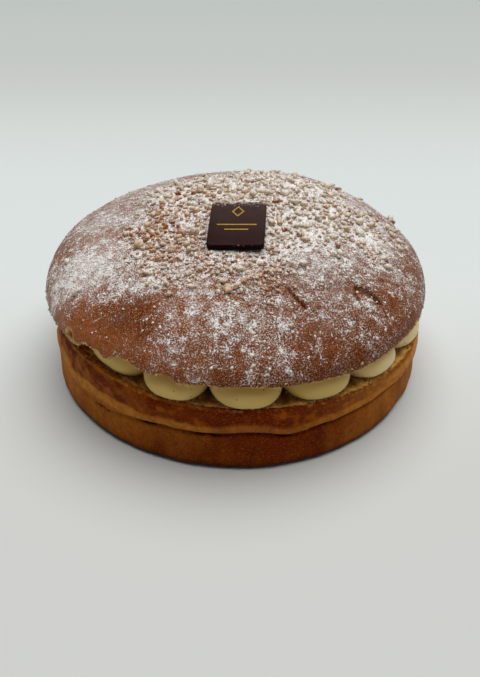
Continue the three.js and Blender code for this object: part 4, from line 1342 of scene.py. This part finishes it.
# Scuffs near the back and front edges; these whitish marks are partly painted glints on those edges.
toward_back = node(tree, "MapRange", [across.outputs["Y"], 0.0075, 0.0145])
toward_front = node(tree, "MapRange", [across.outputs["Y"], -0.0128, -0.0145, 0.0, 0.55])
near_side = node(tree, "Math", [toward_back, toward_front], operation="MAXIMUM")
scuff_limit = node(tree, "MapRange", [near_side, 0.0, 1.0, 0.78, 0.45])
scuff_over = node(tree, "Math", [scuff, scuff_limit], operation="SUBTRACT")
scuffed = node(tree, "MapRange", [scuff_over, 0.0, 0.06, 0.0, 0.8])
marked = node(tree, "Mix", {0: scuffed, 6: tone, 7: "#c4b6b0"}, data_type="RGBA")
sided = node(tree, "Mix", {0: painted_side_shade, 6: marked, 7: "#120505"}, data_type="RGBA")
rough = node(tree, "MapRange", [bloom, 0.3, 0.7, 0.3, 0.48])
rougher = node(tree, "Math", [rough, scuffed], operation="ADD", use_clamp=True)
bump = node(tree, "Bump", {"Height": scuff, "Strength": 0.12, "Distance": 0.0002})
skin = node(tree, "BsdfPrincipled", {
    "Base Color": sided, "Roughness": rougher, "Normal": bump, "IOR": 1.45, "Specular IOR Level": 0.06})
node(tree, "OutputMaterial", [skin])
finish_piece(plaque_data, ["chocolate_plaque"], chocolate)

# %% Gold print on the plaque
form = bmesh.new()
for lozenge_radius in (3.6, 2.5):
    bmesh.ops.create_circle(form, segments=4, radius=lozenge_radius)
band = bmesh.ops.bridge_loops(form, edges=form.edges)["faces"]
bmesh.ops.solidify(form, geom=band, thickness=0.10)
bmesh.ops.scale(form, vec=(0.80, 1.0, 1.0), verts=form.verts)
bmesh.ops.translate(form, vec=(0, 7.6, 0.06), verts=form.verts)
for width, y in ((17.5, -1.2), (10.5, -4.4)):
    rule = bmesh.ops.create_cube(form, size=1.0)["verts"]
    bmesh.ops.scale(form, vec=(width, 0.75, 0.10), verts=rule)
    bmesh.ops.translate(form, vec=(0, y, 0.02), verts=rule)
bmesh.ops.recalc_face_normals(form, faces=form.faces)
bmesh.ops.transform(form, matrix=plaque_frame @ Matrix.Scale(MM, 4), verts=form.verts)
gold_data = bpy.data.meshes.new("gold_print")
form.to_mesh(gold_data)
form.free()
gold, tree, place = new_material("Gold cocoa-butter print")
worn = node(tree, "TexNoise", {"Vector": place, "Scale": 1000 / 1.2, "Detail": 3.0})
tone = node(tree, "Mix", {0: worn, 6: "#a8822a", 7: "#6f5218"}, data_type="RGBA")
skin = node(tree, "BsdfPrincipled", {"Base Color": tone, "Metallic": 0.6, "Roughness": 0.42})
node(tree, "OutputMaterial", [skin])
finish_piece(gold_data, ["chocolate_plaque"], gold)
gold_data.polygons.foreach_set("use_smooth", [False] * len(gold_data.polygons))
